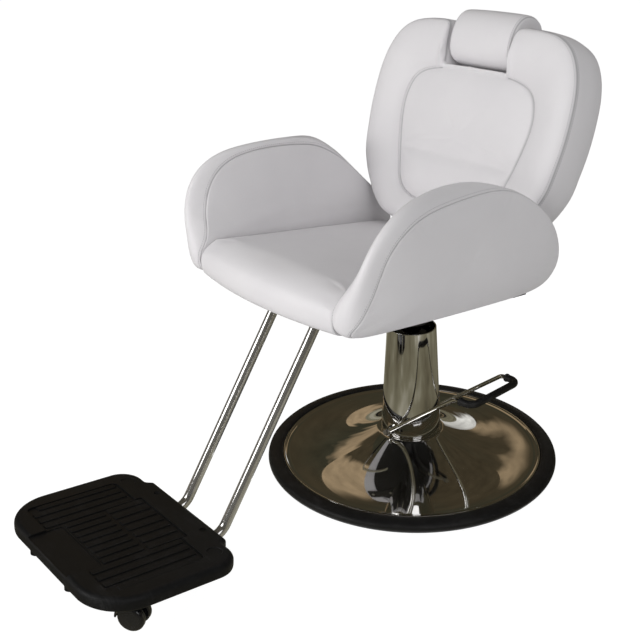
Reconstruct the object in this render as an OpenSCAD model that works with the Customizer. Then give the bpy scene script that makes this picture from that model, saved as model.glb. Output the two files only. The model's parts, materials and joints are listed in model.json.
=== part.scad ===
// Reclining barber chair on a round hydraulic base, with a sliding footrest.
// Millimetres. Z is up, the floor is z = 0, the column stands on the Z axis.
// The chair faces -Y and the sitter's left is +X.

/* [Base] */
// radius of the chrome disc inside the rubber ring
disc_r = 311; // [300:1:325]
// width of the rubber ring round the disc
ring_w = 36; // [28:1:46]
// height at which the chrome disc meets the column cover
disc_top_z = 76; // [70:1:80]
// outer radius of the column cover at its foot
cover_foot_r = 71.4; // [68:0.2:74]
// outer radius of the column cover at its rim
cover_rim_r = 57.5; // [54:0.5:60]
// height of the column cover's rim
cover_top_z = 341; // [331:1:345]
// radius of the lifting piston
piston_r = 22; // [20:1:25]

/* [Pump lever] */
// height of the lever shaft
lever_z = 92; // [90:1:94]
// turn of the lever about the column, in degrees
lever_turn = 4.5; // [0:0.5:10]
// rise of the lever rods, in degrees
lever_rise = 38; // [36:1:40]
// length of the lever's sloping rods
lever_len = 256; // [240:1:270]
// distance from the column axis to each lever rod
lever_half = 81; // [80:1:84]

/* [Seat] */
// clear width between the arms at the seat
seat_w = 450; // [430:1:470]
// height of the underside of the seat at the column
seat_z = 489; // [484:1:510]
// backward tilt of the seat, in degrees
seat_tilt = 3.8; // [3:0.1:4.6]
// crown of the seat cushion at its middle
seat_crown = 14; // [8:1:18]

/* [Backrest] */
// lean of the backrest from upright, in degrees
back_lean = 18.4; // [18:0.1:19.5]
// half width of the backrest at its widest
back_half_w = 294; // [284:1:302]
// thickness of the backrest behind its middle panel
back_thick = 85; // [80:1:90]
// half width of the slot for the headrest
slot_half = 99; // [97:0.5:102]
// half width of the headrest pad
headrest_half = 92; // [86:0.5:93]

/* [Footrest] */
// outer diameter of the footrest tubes
tube_d = 22; // [20:0.5:24]
// distance from the middle to each footrest tube
tube_x = 69.5; // [66:0.5:71]
// slope of the footrest tubes from upright, in degrees
tube_slope = 34; // [32:0.5:35]
// width of the footplate
plate_w = 438; // [424:1:448]
// depth of the footplate
plate_d = 296; // [288:1:304]
// height of the footplate's face at its back edge
plate_z = 115.7; // [113:0.5:120]
// tilt of the footplate, front edge up, in degrees
plate_tilt = 5.4; // [4:0.1:6]
// diameter of the caster wheels
wheel_d = 55; // [50:1:56]

/* [Hidden] */
$fn = 48;
run_gap = 0.05;
collar = 0.05;

// rail section and the frame under the seat
rail_h = 40;
rail_w = 25;
rail_len = 425;
bar_t = 5;
bar_w = 40;
front_bar_u = -240;
rear_bar_u = 50;
board_t = 12;
rail_x = tube_x + 27.5;
frame_low = -bar_t - rail_h;
head_plate_t = 6;
head_plate_d = 220;
head_bottom_z = cover_top_z + 12;

// backrest plane and the recline hinge in it
back_y = 121.4;
back_z = 700 + seat_z - 489;
hinge_h = -223;
hinge_w = -(back_thick + 20.5);
hinge_y = back_y + hinge_h * sin(back_lean) - hinge_w * cos(back_lean);
hinge_z = back_z + hinge_h * cos(back_lean) + hinge_w * sin(back_lean);
pin_r = 6;
upright_s = 25;

// gas spring under the seat
spring_x = 58;
crank_r = 50;
crank_a = 20;
spring_z = hinge_z - crank_r * (1 + cos(crank_a)) / 2;
spring_pin_y = hinge_y + crank_r * sin(crank_a);
spring_pin_z = hinge_z - crank_r * cos(crank_a);
spring_r = 11;
spring_rod_r = 4;
spring_front_y = -112;
spring_end_y = 70;

// footrest tube route in the middle plane, as y and z
tube_r = tube_d / 2;
tube_v = -bar_t - 20;
plate_t = 28;
bracket_t = 3;
plate_back_y = -650;
rim_r = 12;
rim_back = 7;
tube_below_plate = plate_t + bracket_t + tube_r;
slope_point = [-583.9, 93.7];
high_bend = meet(seat_yz(0, tube_v), -seat_tilt, slope_point, 90 - tube_slope);
low_bend = meet(
  plate_yz(0, -tube_below_plate), -plate_tilt,
  slope_point, 90 - tube_slope
);
tube_bend = 45;

// place in the tilted frame of the seat
module at_seat() {
  translate([0, 0, seat_z])
    rotate([-seat_tilt, 0, 0])
      children();
}

// place in the backrest's plane: across, up the plane, forward of it
module at_back() {
  translate([0, back_y, back_z])
    rotate([90 - back_lean, 0, 0])
      children();
}

// place in the tilted frame of the footplate, at its back edge
module at_plate() {
  translate([0, plate_back_y, plate_z])
    rotate([-plate_tilt, 0, 0])
      children();
}

module mirror_pair() {
  children();
  mirror([1, 0, 0]) children();
}

// world y and z of a point given along and above the seat's plane
function seat_yz(u, v) = [
  u * cos(seat_tilt) + v * sin(seat_tilt),
  seat_z - u * sin(seat_tilt) + v * cos(seat_tilt)
];

// world y and z of a point given behind and above the footplate's back edge
function plate_yz(u, v) = [
  plate_back_y + u * cos(plate_tilt) + v * sin(plate_tilt),
  plate_z - u * sin(plate_tilt) + v * cos(plate_tilt)
];

// place in the tilted frame of the seat of a world y and z
function seat_uv(y, z) = [
  y * cos(seat_tilt) - (z - seat_z) * sin(seat_tilt),
  y * sin(seat_tilt) + (z - seat_z) * cos(seat_tilt)
];

// crossing of two plane lines, each given by a point and its heading
function meet(p, a, q, b) =
  let (t = ((q[0] - p[0]) * sin(b) - (q[1] - p[1]) * cos(b)) / sin(b - a))
  [p[0] + t * cos(a), p[1] + t * sin(a)];

// points of an arc
function arc(cx, cy, r, a0, a1, n) = [
  for (i = [0:n]) [cx + r * cos(a0 + (a1 - a0) * i / n), cy + r * sin(a0 + (a1 - a0) * i / n)]
];

// smooth closed curve through key points of any dimension
function smooth_loop(keys, steps) = [
  for (i = [0:len(keys) - 1])
    for (k = [0:steps - 1])
      let (
        n = len(keys),
        a = keys[(i + n - 1) % n],
        b = keys[i],
        c = keys[(i + 1) % n],
        d = keys[(i + 2) % n],
        t = k / steps
      )
      (2 * b + (c - a) * t + (2 * a - 5 * b + 4 * c - d) * t * t
        + (3 * b - a - 3 * c + d) * t * t * t) / 2
];

function mix(a, b, t) = a + (b - a) * t;

// closed skin over rings of points, with a middle point at each end
module skin(first, rings, last) {
  n = len(rings[0]);
  m = len(rings);
  points = concat([first], [for (r = rings) each r], [last]);
  end = n * m + 1;
  faces = concat(
    [for (i = [0:n - 1]) [0, 1 + i, 1 + (i + 1) % n]],
    [
      for (j = [0:m - 2])
        for (i = [0:n - 1])
          let (
            a = 1 + j * n + i,
            b = 1 + j * n + (i + 1) % n,
            c = b + n,
            d = a + n
          )
          each [[a, d, c], [a, c, b]]
    ],
    [for (i = [0:n - 1]) [end, end - n + (i + 1) % n, end - n + i]]
  );
  polyhedron(points = points, faces = faces, convexity = 6);
}

// direction from one plane point to the next, in degrees
function heading(a, b) = atan2(b[1] - a[1], b[0] - a[0]);

// turn of a route at its inner point k, between -180 and 180
function turn_at(route, k) =
  let (t = heading(route[k], route[k + 1]) - heading(route[k - 1], route[k]))
  t > 180 ? t - 360 : (t < -180 ? t + 360 : t);

function trim_at(route, k, bend) =
  (k == 0 || k == len(route) - 1) ? 0 : bend * tan(abs(turn_at(route, k)) / 2);

// round bar along a bent route in the XY plane, longer by more at its ends
module bent_bar(route, bend, r, more = 0) {
  last = len(route) - 1;
  for (k = [0:last - 1]) {
    t0 = k == 0 ? -more : trim_at(route, k, bend);
    t1 = k == last - 1 ? -more : trim_at(route, k + 1, bend);
    translate([route[k][0], route[k][1], 0])
      rotate([0, 0, heading(route[k], route[k + 1])])
        translate([t0, 0, 0])
          rotate([0, 90, 0])
            cylinder(r = r, h = norm(route[k + 1] - route[k]) - t0 - t1);
  }
  for (k = [1:1:last - 1]) {
    h = heading(route[k - 1], route[k]);
    t = turn_at(route, k);
    side = t > 0 ? 1 : -1;
    start = route[k] - trim_at(route, k, bend) * [cos(h), sin(h)];
    middle = start + side * bend * [-sin(h), cos(h)];
    translate([middle[0], middle[1], 0]) {
      rotate([0, 0, h - side * 90 + min(t, 0)])
        rotate_extrude(angle = abs(t))
          translate([bend, 0])
            circle(r = r);
      // thin collars join the arc to its neighbours
      for (a = [h - side * 90, h - side * 90 + t])
        rotate([0, 0, a])
          translate([bend, 0, 0])
            rotate([90, 0, 0])
              cylinder(r = r + collar, h = 0.8, center = true);
    }
  }
}

// bar along a route with a bore all through it
module bent_tube(route, bend, r, hole) {
  difference() {
    bent_bar(route, bend, r);
    bent_bar(route, bend, hole, 1);
  }
}

module tube(r, hole, length) {
  difference() {
    cylinder(r = r, h = length);
    translate([0, 0, -1])
      cylinder(r = hole, h = length + 2);
  }
}

// flat-topped hexagon head with its shank below it
module hex_bolt(head_w, head_h, shank_r, shank_len) {
  cylinder(d = head_w / cos(30), h = head_h, $fn = 6);
  translate([0, 0, -shank_len])
    cylinder(r = shank_r, h = shank_len);
}

// base

module rubber_ring() {
  color([0.03, 0.03, 0.03])
    rotate_extrude()
      polygon(concat(
        [[disc_r - 3.8, 0]],
        arc(disc_r + ring_w - 11, 11, 11, -90, 90, 8),
        [
          [disc_r + 7, 24],
          [disc_r + 2, 23.4],
          [disc_r + 0.3, 21.5],
          [disc_r + 0.3, 2.7],
          [disc_r - 3.8, 2.7]
        ]
      ));
}

// height of the chrome disc at a radius
function disc_z(r) =
  18.5 + (disc_top_z - 18.5) * pow((disc_r - 13 - r) / (disc_r - 91), 2.1);

module base_shell() {
  skirt = 2.5;
  radii = [for (i = [0:9]) disc_r - 13 - i * (disc_r - 91) / 9];
  color([0.85, 0.85, 0.86])
    rotate_extrude()
      polygon(concat(
        [[disc_r - skirt, 3], [disc_r, 3]],
        arc(disc_r - 3.5, 19, 3.5, 0, 140, 4),
        [for (r = radii) [r, disc_z(r)]],
        [[66, disc_top_z], [66, disc_top_z - skirt]],
        [for (i = [9:-1:0]) [radii[i] - 0.8, disc_z(radii[i]) - skirt]],
        [[disc_r - skirt, 16]]
      ));
}

module base_plate() {
  color([0.16, 0.16, 0.17])
    union() {
      cylinder(r = disc_r - 4.1, h = 8);
      translate([0, 0, 8])
        cylinder(r1 = 78, r2 = 66, h = 12);
    }
}

module pump_cylinder() {
  color([0.10, 0.10, 0.11])
    difference() {
      union() {
        translate([0, 0, 20])
          cylinder(r = 60, h = 12);
        translate([0, 0, 32])
          cylinder(r = 45, h = cover_top_z - 29 - 32);
        translate([0, 0, cover_top_z - 29])
          cylinder(r = 36, h = 10);
      }
      translate([0, 0, lever_z + 20])
        cylinder(r = piston_r + run_gap, h = cover_top_z);
      translate([0, 0, lever_z])
        rotate([0, 0, lever_turn])
          rotate([90, 0, 0])
            cylinder(r = 8 + run_gap, h = 130, center = true);
    }
}

module pump_bolts() {
  color([0.45, 0.45, 0.47])
    for (a = [45:90:315])
      rotate([0, 0, a])
        translate([52.3, 0, 32])
          cylinder(d = 11, h = 6, $fn = 6);
}

module column_cover() {
  wall = 2;
  color([0.85, 0.85, 0.86])
    difference() {
      rotate_extrude()
        polygon(concat(
          [[cover_foot_r - wall, disc_top_z], [cover_foot_r, disc_top_z]],
          arc(cover_rim_r - 1.4, cover_top_z - 1.4, 1.4, 0, 180, 6),
          [[cover_rim_r - 2.8, cover_top_z - 4]]
        ));
      translate([0, 0, lever_z])
        rotate([0, 0, lever_turn])
          rotate([90, 0, 0])
            cylinder(r = 9.5, h = 200, center = true);
    }
}

// pump lever

rod_r = 5;
lever_bend = 24;
pedal_bend = 20;
pedal_start = lever_len * cos(lever_rise) + lever_bend * tan(lever_rise / 2) + 0.5;
pedal_end = lever_len * cos(lever_rise) + 46;
pedal_rise = lever_len * sin(lever_rise);
pedal_route = [
  [pedal_start, -lever_half],
  [pedal_end, -lever_half],
  [pedal_end, lever_half],
  [pedal_start, lever_half]
];

sleeve_start = pedal_start + 1.5;
sleeve_route = [
  [sleeve_start, -lever_half],
  [pedal_end, -lever_half],
  [pedal_end, lever_half],
  [sleeve_start, lever_half]
];

module at_lever() {
  translate([0, 0, lever_z])
    rotate([0, 0, lever_turn])
      children();
}

module lever_shaft() {
  color([0.45, 0.45, 0.47])
    at_lever()
      rotate([90, 0, 0])
        difference() {
          cylinder(r = 8, h = 2 * lever_half - 12, center = true);
          for (s = [-1, 1])
            translate([0, 0, s * (lever_half - 6)])
              cylinder(r = 3.05, h = 24, center = true);
        }
}

module lever_rod() {
  color([0.85, 0.85, 0.86])
    at_lever()
      difference() {
        union() {
          for (s = [-1, 1])
            translate([0, s * lever_half, 0])
              rotate([90, 0, 0]) {
                cylinder(r = 9, h = 12, center = true);
                bent_bar(
                  [
                    [0, 0],
                    [lever_len * cos(lever_rise), pedal_rise],
                    [pedal_start, pedal_rise]
                  ],
                  lever_bend, rod_r
                );
              }
          translate([0, 0, pedal_rise])
            bent_bar(pedal_route, pedal_bend, rod_r);
          for (s = [-1, 1])
            translate([pedal_start, s * lever_half, pedal_rise])
              rotate([0, 90, 0])
                cylinder(r = rod_r + collar, h = 0.8, center = true);
        }
        rotate([90, 0, 0])
          cylinder(r = 3.05, h = 400, center = true);
      }
}

module lever_bolts() {
  color([0.6, 0.6, 0.62])
    at_lever()
      for (s = [-1, 1])
        translate([0, s * (lever_half + 6), 0])
          rotate([-90 * s, 0, 0])
            hex_bolt(11, 4.5, 3, 22);
}

module pedal_sleeve() {
  color([0.03, 0.03, 0.03])
    at_lever()
      translate([0, 0, pedal_rise]) {
        difference() {
          union() {
            bent_bar(sleeve_route, pedal_bend, rod_r + 3.2);
            for (s = [-1, 1])
              translate([pedal_start + 4, s * lever_half, 0])
                rotate([0, 90, 0])
                  cylinder(r = rod_r + 4.6, h = 5);
          }
          bent_bar(sleeve_route, pedal_bend, rod_r + 0.12, 1);
        }
      }
}

// lifting piston

module piston() {
  color([0.75, 0.75, 0.77])
    translate([0, 0, lever_z + 22])
      cylinder(r = piston_r, h = head_bottom_z + 68 - lever_z - 22);
}

// frame under the seat

module pump_head() {
  color([0.07, 0.07, 0.07])
    difference() {
      union() {
        translate([0, 0, head_bottom_z])
          cylinder(r = 38, h = seat_z - 48 - head_bottom_z);
        at_seat()
          translate([-rail_x - 18, -120, frame_low - head_plate_t])
            cube([2 * rail_x + 36, head_plate_d, head_plate_t]);
      }
      translate([0, 0, head_bottom_z - 1])
        cylinder(r = piston_r + run_gap, h = 69.3);
    }
}

module seat_rail() {
  at_seat()
    translate([rail_x - rail_w / 2, -300, frame_low])
      difference() {
        cube([rail_w, rail_len, rail_h]);
        translate([2, -1, 2])
          cube([rail_w - 4, rail_len + 2, rail_h - 4]);
      }
}

module seat_rail_left() {
  color([0.07, 0.07, 0.07]) seat_rail();
}

module seat_rail_right() {
  color([0.07, 0.07, 0.07]) mirror([1, 0, 0]) seat_rail();
}

module seat_cross(u) {
  color([0.07, 0.07, 0.07])
    at_seat()
      translate([-seat_w / 2 - 50, u - bar_w / 2, -bar_t])
        cube([seat_w + 100, bar_w, bar_t]);
}

module seat_cross_front() {
  seat_cross(front_bar_u);
}

module seat_cross_rear() {
  seat_cross(rear_bar_u);
}

module footrest_socket() {
  at_seat()
    translate([tube_x, -272, tube_v])
      rotate([-90, 0, 0])
        tube(rail_x - rail_w / 2 - tube_x, tube_r + run_gap, 165);
}

module footrest_socket_left() {
  color([0.07, 0.07, 0.07]) footrest_socket();
}

module footrest_socket_right() {
  color([0.07, 0.07, 0.07]) mirror([1, 0, 0]) footrest_socket();
}

// bracket plate on a rail's outer side, with the hinge pin's hole
hinge_in_seat = seat_uv(hinge_y, hinge_z);

module hinge_bracket() {
  at_seat()
    translate([rail_x + rail_w / 2, 0, 0])
      rotate([90, 0, 90])
        linear_extrude(height = 6)
          difference() {
            union() {
              translate([60, frame_low])
                square([65, rail_h]);
              translate([120, hinge_in_seat[1] - 17])
                square([hinge_in_seat[0] - 120, 34]);
              translate(hinge_in_seat)
                circle(r = 17);
            }
            translate(hinge_in_seat)
              circle(r = pin_r + run_gap);
          }
}

module hinge_bracket_left() {
  color([0.07, 0.07, 0.07]) hinge_bracket();
}

module hinge_bracket_right() {
  color([0.07, 0.07, 0.07]) mirror([1, 0, 0]) hinge_bracket();
}

module hinge_pins() {
  color([0.45, 0.45, 0.47])
    mirror_pair()
      translate([rail_x - 6, hinge_y, hinge_z])
        rotate([0, 90, 0]) {
          cylinder(r = pin_r, h = rail_w / 2 + 12);
          translate([0, 0, rail_w / 2 + 12])
            cylinder(r = 10, h = 4);
        }
}

module seat_board() {
  color([0.10, 0.10, 0.10])
    at_seat()
      translate([0, 0, 0])
        linear_extrude(height = board_t)
          difference() {
            translate([-seat_w / 2 + 0.3, -384])
              square([seat_w - 0.6, 480]);
            for (s = [-1, 1])
              translate([s * seat_w / 2, 96])
                rotate(45)
                  square([40, 40], center = true);
          }
}

// soft seat

seat_keys = [
  [-388, board_t + 0.3],
  [-150, board_t + 0.3],
  [60, board_t + 0.3],
  [108, board_t + 0.8],
  [124, 21],
  [120, 33],
  [96, 38.5],
  [20, 45],
  [-93, 53],
  [-250, 61.6],
  [-350, 67.3],
  [-392, 69],
  [-420, 64],
  [-440, 50],
  [-449, 32],
  [-448, 12],
  [-440, -3],
  [-424, -10],
  [-402, -9]
];

// section of the seat cushion at a place across it
function seat_section(x) =
  let (
    half = seat_w / 2,
    s = abs(x) / half,
    swell = seat_crown * pow(max(0, 1 - s * s), 0.6),
    draw = s > 0.985 ? 5 : (s > 0.96 ? 1.2 : 0)
  )
  [
    for (p = seat_ring)
      let (
        top = max(0, min(1, (p[1] - 16) / 30)),
        front = max(0, min(1, (-385 - p[0]) / 40)),
        u = p[0] + front * (28 * s * s + draw),
        v = p[1] + top * (swell * (1 - 0.45 * front) - draw)
      )
      [x, u, v]
  ];

seat_ring = smooth_seat();

// the board's notch keeps its corners, the rest is rounded
function smooth_seat() =
  let (
    body = [for (i = [3:len(seat_keys) - 1]) seat_keys[i]],
    round = smooth_loop(body, 2),
    last = 2 * (len(body) - 2)
  )
  concat(
    [[-388, board_t + 0.3], [-260, board_t + 0.3], [-120, board_t + 0.3], [20, board_t + 0.3]],
    [body[0]],
    [for (i = [2:last]) round[i]],
    [body[len(body) - 1], [-388, -6]]
  );

seat_places = [0.9986, 0.975, 0.93, 0.84, 0.7, 0.5, 0.26];

module seat_cushion() {
  half = seat_w / 2;
  color([0.93, 0.93, 0.93])
    at_seat()
      skin(
        [-half * 0.9986, -412, 24],
        concat(
          [for (s = seat_places) seat_section(-half * s)],
          [seat_section(0)],
          [for (i = [len(seat_places) - 1:-1:0]) seat_section(half * seat_places[i])]
        ),
        [half * 0.9986, -412, 24]
      );
}

// soft arms: along, above and out from the seat's side, at the inner seam

arm_inner_keys = [
  [85, 3, 2],
  [104, 21, 3],
  [105, 54, 6],
  [95, 89, 13],
  [76, 124, 19],
  [50, 158, 30],
  [12, 194, 37],
  [-45, 224, 37],
  [-87, 241, 33],
  [-150, 247, 33],
  [-215, 247, 37],
  [-271, 239, 44],
  [-323, 222, 51],
  [-358, 186, 50],
  [-374, 154, 44],
  [-385, 124, 34],
  [-392, 100, 19],
  [-400, 74, 2],
  [-416, 52, 0],
  [-422, 30, 0],
  [-414, 4, 0],
  [-385, -6, 0],
  [-300, 0.4, 0],
  [-170, 0.4, 0],
  [-40, 0.4, 0]
];

// the same at the outer seam, with the swell of the band and where its crown lies
arm_outer_keys = [
  [77, 6, 60, 2, 1],
  [115, 26, 69, 3, 1],
  [128, 58, 77, 4, 1],
  [121, 89, 85, 3, 1],
  [105, 129, 92, 2, 1],
  [69, 174, 96, 0, 0.95],
  [14, 216, 96, 2, 0.7],
  [-43, 243, 92, 9, 0.6],
  [-88, 250, 87, 15, 0.4],
  [-139, 248, 85, 16, 0.3],
  [-200, 241.5, 86, 15, 0.4],
  [-273, 231.5, 89, 17, 0.65],
  [-321, 213, 93, 24, 1],
  [-355, 185, 92, 32, 1.4],
  [-373, 154.5, 88, 35, 1.7],
  [-380.5, 121.5, 82, 37, 1.75],
  [-386.5, 89.5, 75, 36, 1.65],
  [-395, 57, 66, 31, 1.4],
  [-404, 32, 58, 22, 1.1],
  [-411, 14, 46, 12, 1],
  [-408, 0, 34, 4, 1],
  [-380, -8, 36, 0, 1],
  [-300, 0.4, 56, 0, 1],
  [-170, 0.4, 62, 0, 1],
  [-40, 0.4, 60, 0, 1]
];

// outward direction of a ring at point i
function out_of(ring, i) =
  let (
    n = len(ring),
    d = ring[(i + 1) % n] - ring[(i + n - 1) % n]
  )
  [d[1], -d[0]] / norm([d[0], d[1]]);

// share of the swell across the band; the last key value moves its crown
function swell(t, lean) = pow(1 - pow(abs(2 * pow(t, lean) - 1), 2.4), 0.75);

// ring between the two seams, swollen outwards
function arm_strip(inner, outer, t) = [
  for (i = [0:len(inner) - 1])
    let (
      q = outer[i],
      p = mix(inner[i], [q[0], q[1], q[2]], t),
      b = q[3] * swell(t, q[4]),
      o = out_of(outer, i)
    )
    [p[0] + b * o[0], p[1] + b * o[1], p[2]]
];

// ring drawn towards the middle of the outer panel, bulging a little
function arm_outside(ring, scale, bulge) = [
  for (p = ring)
    [mix(-150, p[0], scale), mix(118, p[1], scale), mix(79, p[2], scale) + bulge]
];

// ring drawn towards the middle of the inner panel, upright beside the seat
function arm_inside(ring, scale) = [
  for (p = ring)
    let (v = mix(118, p[1], scale))
    [
      mix(-150, p[0], scale),
      v,
      mix(arm_lean(v), p[2], scale * scale)
    ]
];

function arm_lean(v) = 0.6 + 0.25 * max(0, v - 70);

function out_from_seat(ring) = [
  for (p = ring) [seat_w / 2 + p[2], p[0], p[1]]
];

module soft_arm() {
  inner = smooth_loop(arm_inner_keys, 2);
  outer = smooth_loop(arm_outer_keys, 2);
  at_seat()
    skin(
      [seat_w / 2 + arm_lean(118), -150, 118],
      [
        for (ring = [
          arm_inside(inner, 0.5),
          arm_inside(inner, 0.85),
          inner,
          arm_strip(inner, outer, 0.12),
          arm_strip(inner, outer, 0.3),
          arm_strip(inner, outer, 0.5),
          arm_strip(inner, outer, 0.7),
          arm_strip(inner, outer, 0.88),
          outer,
          arm_outside(outer, 0.93, 5),
          arm_outside(outer, 0.6, 10)
        ])
          out_from_seat(ring)
      ],
      [seat_w / 2 + 90, -150, 118]
    );
}

module arm_left() {
  color([0.93, 0.93, 0.93]) soft_arm();
}

module arm_right() {
  color([0.93, 0.93, 0.93]) mirror([1, 0, 0]) soft_arm();
}

// gas spring that holds the backrest

anchor_in_seat = seat_uv(spring_front_y, spring_z);

module spring_anchor() {
  color([0.07, 0.07, 0.07])
    at_seat()
      translate([spring_x - 11.5, 0, 0])
        rotate([90, 0, 90])
          linear_extrude(height = 6)
            difference() {
              union() {
                translate([anchor_in_seat[0] - 11, anchor_in_seat[1]])
                  square([22, frame_low - head_plate_t - anchor_in_seat[1]]);
                translate(anchor_in_seat)
                  circle(r = 11);
              }
              translate(anchor_in_seat)
                circle(r = 4 + run_gap);
            }
}

module spring_anchor_pin() {
  color([0.45, 0.45, 0.47])
    translate([spring_x - 15, spring_front_y, spring_z])
      rotate([0, 90, 0]) {
        cylinder(r = 7, h = 3.4);
        translate([0, 0, 3.4])
          cylinder(r = 4, h = 17);
      }
}

module gas_spring_cylinder() {
  color([0.05, 0.05, 0.05])
    difference() {
      union() {
        translate([spring_x - 5, spring_front_y, spring_z])
          rotate([0, 90, 0])
            cylinder(r = 9, h = 10);
        translate([spring_x, spring_front_y + 14, spring_z])
          rotate([-90, 0, 0])
            cylinder(r = spring_r, h = spring_end_y - spring_front_y - 14);
        translate([spring_x, spring_front_y + 6, spring_z])
          rotate([-90, 0, 0])
            cylinder(r = 4.4, h = 12);
      }
      translate([spring_x - 6, spring_front_y, spring_z])
        rotate([0, 90, 0])
          cylinder(r = 4 + run_gap, h = 12);
      translate([spring_x, spring_end_y - 120, spring_z])
        rotate([-90, 0, 0])
          cylinder(r = spring_rod_r + run_gap, h = 130);
    }
}

module gas_spring_rod() {
  color([0.75, 0.75, 0.77])
    difference() {
      union() {
        translate([spring_x, spring_end_y - 70, spring_z])
          rotate([-90, 0, 0])
            cylinder(r = spring_rod_r, h = spring_pin_y - spring_end_y + 62);
        translate([spring_x - 5, spring_pin_y - 10, spring_z - 11])
          cube([10, 20, 22]);
      }
      translate([spring_x - 6, spring_pin_y - 4.6, spring_z - 6.4])
        cube([12, 9.2, 12.8]);
    }
}

// release lever of the gas spring, on the sitter's right

release_u = -70;
release_v = -25;
release_x = rail_x + rail_w / 2;
release_out = seat_w / 2 + 100;

module release_boss() {
  color([0.07, 0.07, 0.07])
    at_seat()
      translate([-release_x, release_u, release_v])
        rotate([0, -90, 0])
          tube(9, 4 + run_gap, 14);
}

module release_lever() {
  color([0.75, 0.75, 0.77])
    at_seat()
      translate([0, release_u, release_v])
        bent_bar(
          [[-release_x - 0.5, 0], [-release_out, 0], [-release_out, -75]],
          20, 4
        );
}

module release_knob() {
  color([0.03, 0.03, 0.03])
    at_seat()
      translate([-release_out, release_u - 76.5, release_v])
        rotate([-90, 0, 0])
          difference() {
            cylinder(r = 8, h = 44);
            translate([0, 0, 1.3])
              cylinder(r = 4.1, h = 50);
          }
}

module seat_bolts() {
  color([0.45, 0.45, 0.47])
    at_seat()
      for (s = [-1, 1])
        for (u = [front_bar_u, rear_bar_u])
          for (x = [seat_w / 2 - 60, seat_w / 2 + 28])
            translate([s * x, u, -bar_t - 4])
              cylinder(d = 12, h = 4, $fn = 6);
}

// backrest

// half outline across and up, with the matching point of the inner panel
back_half_keys = [
  [0, -155, 0, -98],
  [62, -155, 52, -97],
  [122, -154, 98, -92],
  [172, -143, 130, -78],
  [209, -117, 148, -56],
  [235, -86, 158, -30],
  [258, -53, 168, 2],
  [277, -10, 178, 38],
  [285, 40, 186, 74],
  [290, 92, 190, 104],
  [290, 145, 190, 130],
  [285, 198, 185, 153],
  [271, 244, 177, 171],
  [246, 281, 166, 184],
  [210, 303, 153, 192],
  [168, 311, 141, 197],
  [132, 313, 130, 200],
  [slot_half + 13, 312, 122, 202],
  [slot_half + 5, 304, 118, 203],
  [slot_half + 2, 284, 114, 204],
  [slot_half, 250, 109, 204.6],
  [slot_half - 2, 228, 103, 205],
  [slot_half - 7, 217, 96, 205.4],
  [slot_half - 18, 213, 81, 205.6],
  [45, 213, 45, 206]
];

function flip(p) = [-p[0], p[1], -p[2], p[3]];

function back_keys() = concat(
  back_half_keys,
  [[0, 213, 0, 206]],
  [for (i = [len(back_half_keys) - 1:-1:1]) flip(back_half_keys[i])]
);

back_loop = smooth_loop(back_keys(), 2);
wide = back_half_w / 290;

// ring of the backrest: inset along the outline, then drawn to the panel
function back_ring(inset, draw, height) = [
  for (i = [0:len(back_loop) - 1])
    let (
      p = back_loop[i],
      o = out_of(back_loop, i),
      a = [p[0] - inset * o[0], p[1] - inset * o[1]],
      q = [p[2], p[3]],
      near = min(1, norm(q - [p[0], p[1]]) / 60),
      spot = mix(a, q, draw)
    )
    [spot[0] * (abs(spot[0]) > slot_half + 16 ? wide : 1), spot[1], mix(2, height, near)]
];

// ring inside the middle panel, drawn towards its middle
function panel_ring(scale, height) = [
  for (p = back_loop)
    [p[2] * scale, mix(60, p[3], scale), height]
];

// ring behind the backrest, inset along the outline
function rear_ring(inset, height) = [
  for (i = [0:len(back_loop) - 1])
    let (
      p = back_loop[i],
      o = out_of(back_loop, i),
      x = p[0] - inset * o[0]
    )
    [x * (abs(p[0]) > slot_half + 16 ? wide : 1), p[1] - inset * o[1], height]
];

module backrest_cushion() {
  color([0.93, 0.93, 0.93])
    at_back()
      skin(
        [0, 60, -back_thick],
        [
          panel_ring(0.5, -back_thick),
          panel_ring(0.9, -back_thick),
          rear_ring(7, -back_thick),
          rear_ring(1.5, -back_thick + 5),
          rear_ring(-4, -back_thick * 0.42),
          back_ring(0, 0, 10),
          back_ring(0, 0.12, 19),
          back_ring(0, 0.4, 23),
          back_ring(0, 0.8, 14),
          back_ring(0, 1, 2),
          panel_ring(0.8, 6),
          panel_ring(0.4, 9)
        ],
        [0, 60, 10]
      );
}

module back_board() {
  color([0.05, 0.05, 0.05])
    at_back()
      translate([0, 0, -back_thick - 8])
        linear_extrude(height = 8)
          union() {
            translate([-150, -110])
              square([300, 270]);
            translate([-120, -140])
              square([240, 330]);
            for (x = [-120, 120])
              for (h = [-110, 160])
                translate([x, h])
                  circle(r = 30);
          }
}

module back_upright() {
  half = (rail_w - 1) / 2;
  at_back()
    difference() {
      union() {
        translate([rail_x - half, hinge_h, hinge_w - upright_s / 2])
          cube([2 * half, 350, upright_s]);
        translate([rail_x - half, hinge_h, hinge_w])
          rotate([0, 90, 0])
            cylinder(r = upright_s / 2, h = 2 * half);
      }
      translate([rail_x - half - 1, hinge_h, hinge_w])
        rotate([0, 90, 0])
          cylinder(r = pin_r + run_gap, h = 2 * half + 2);
    }
}

module back_upright_left() {
  color([0.07, 0.07, 0.07]) back_upright();
}

module back_upright_right() {
  color([0.07, 0.07, 0.07]) mirror([1, 0, 0]) back_upright();
}

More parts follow.
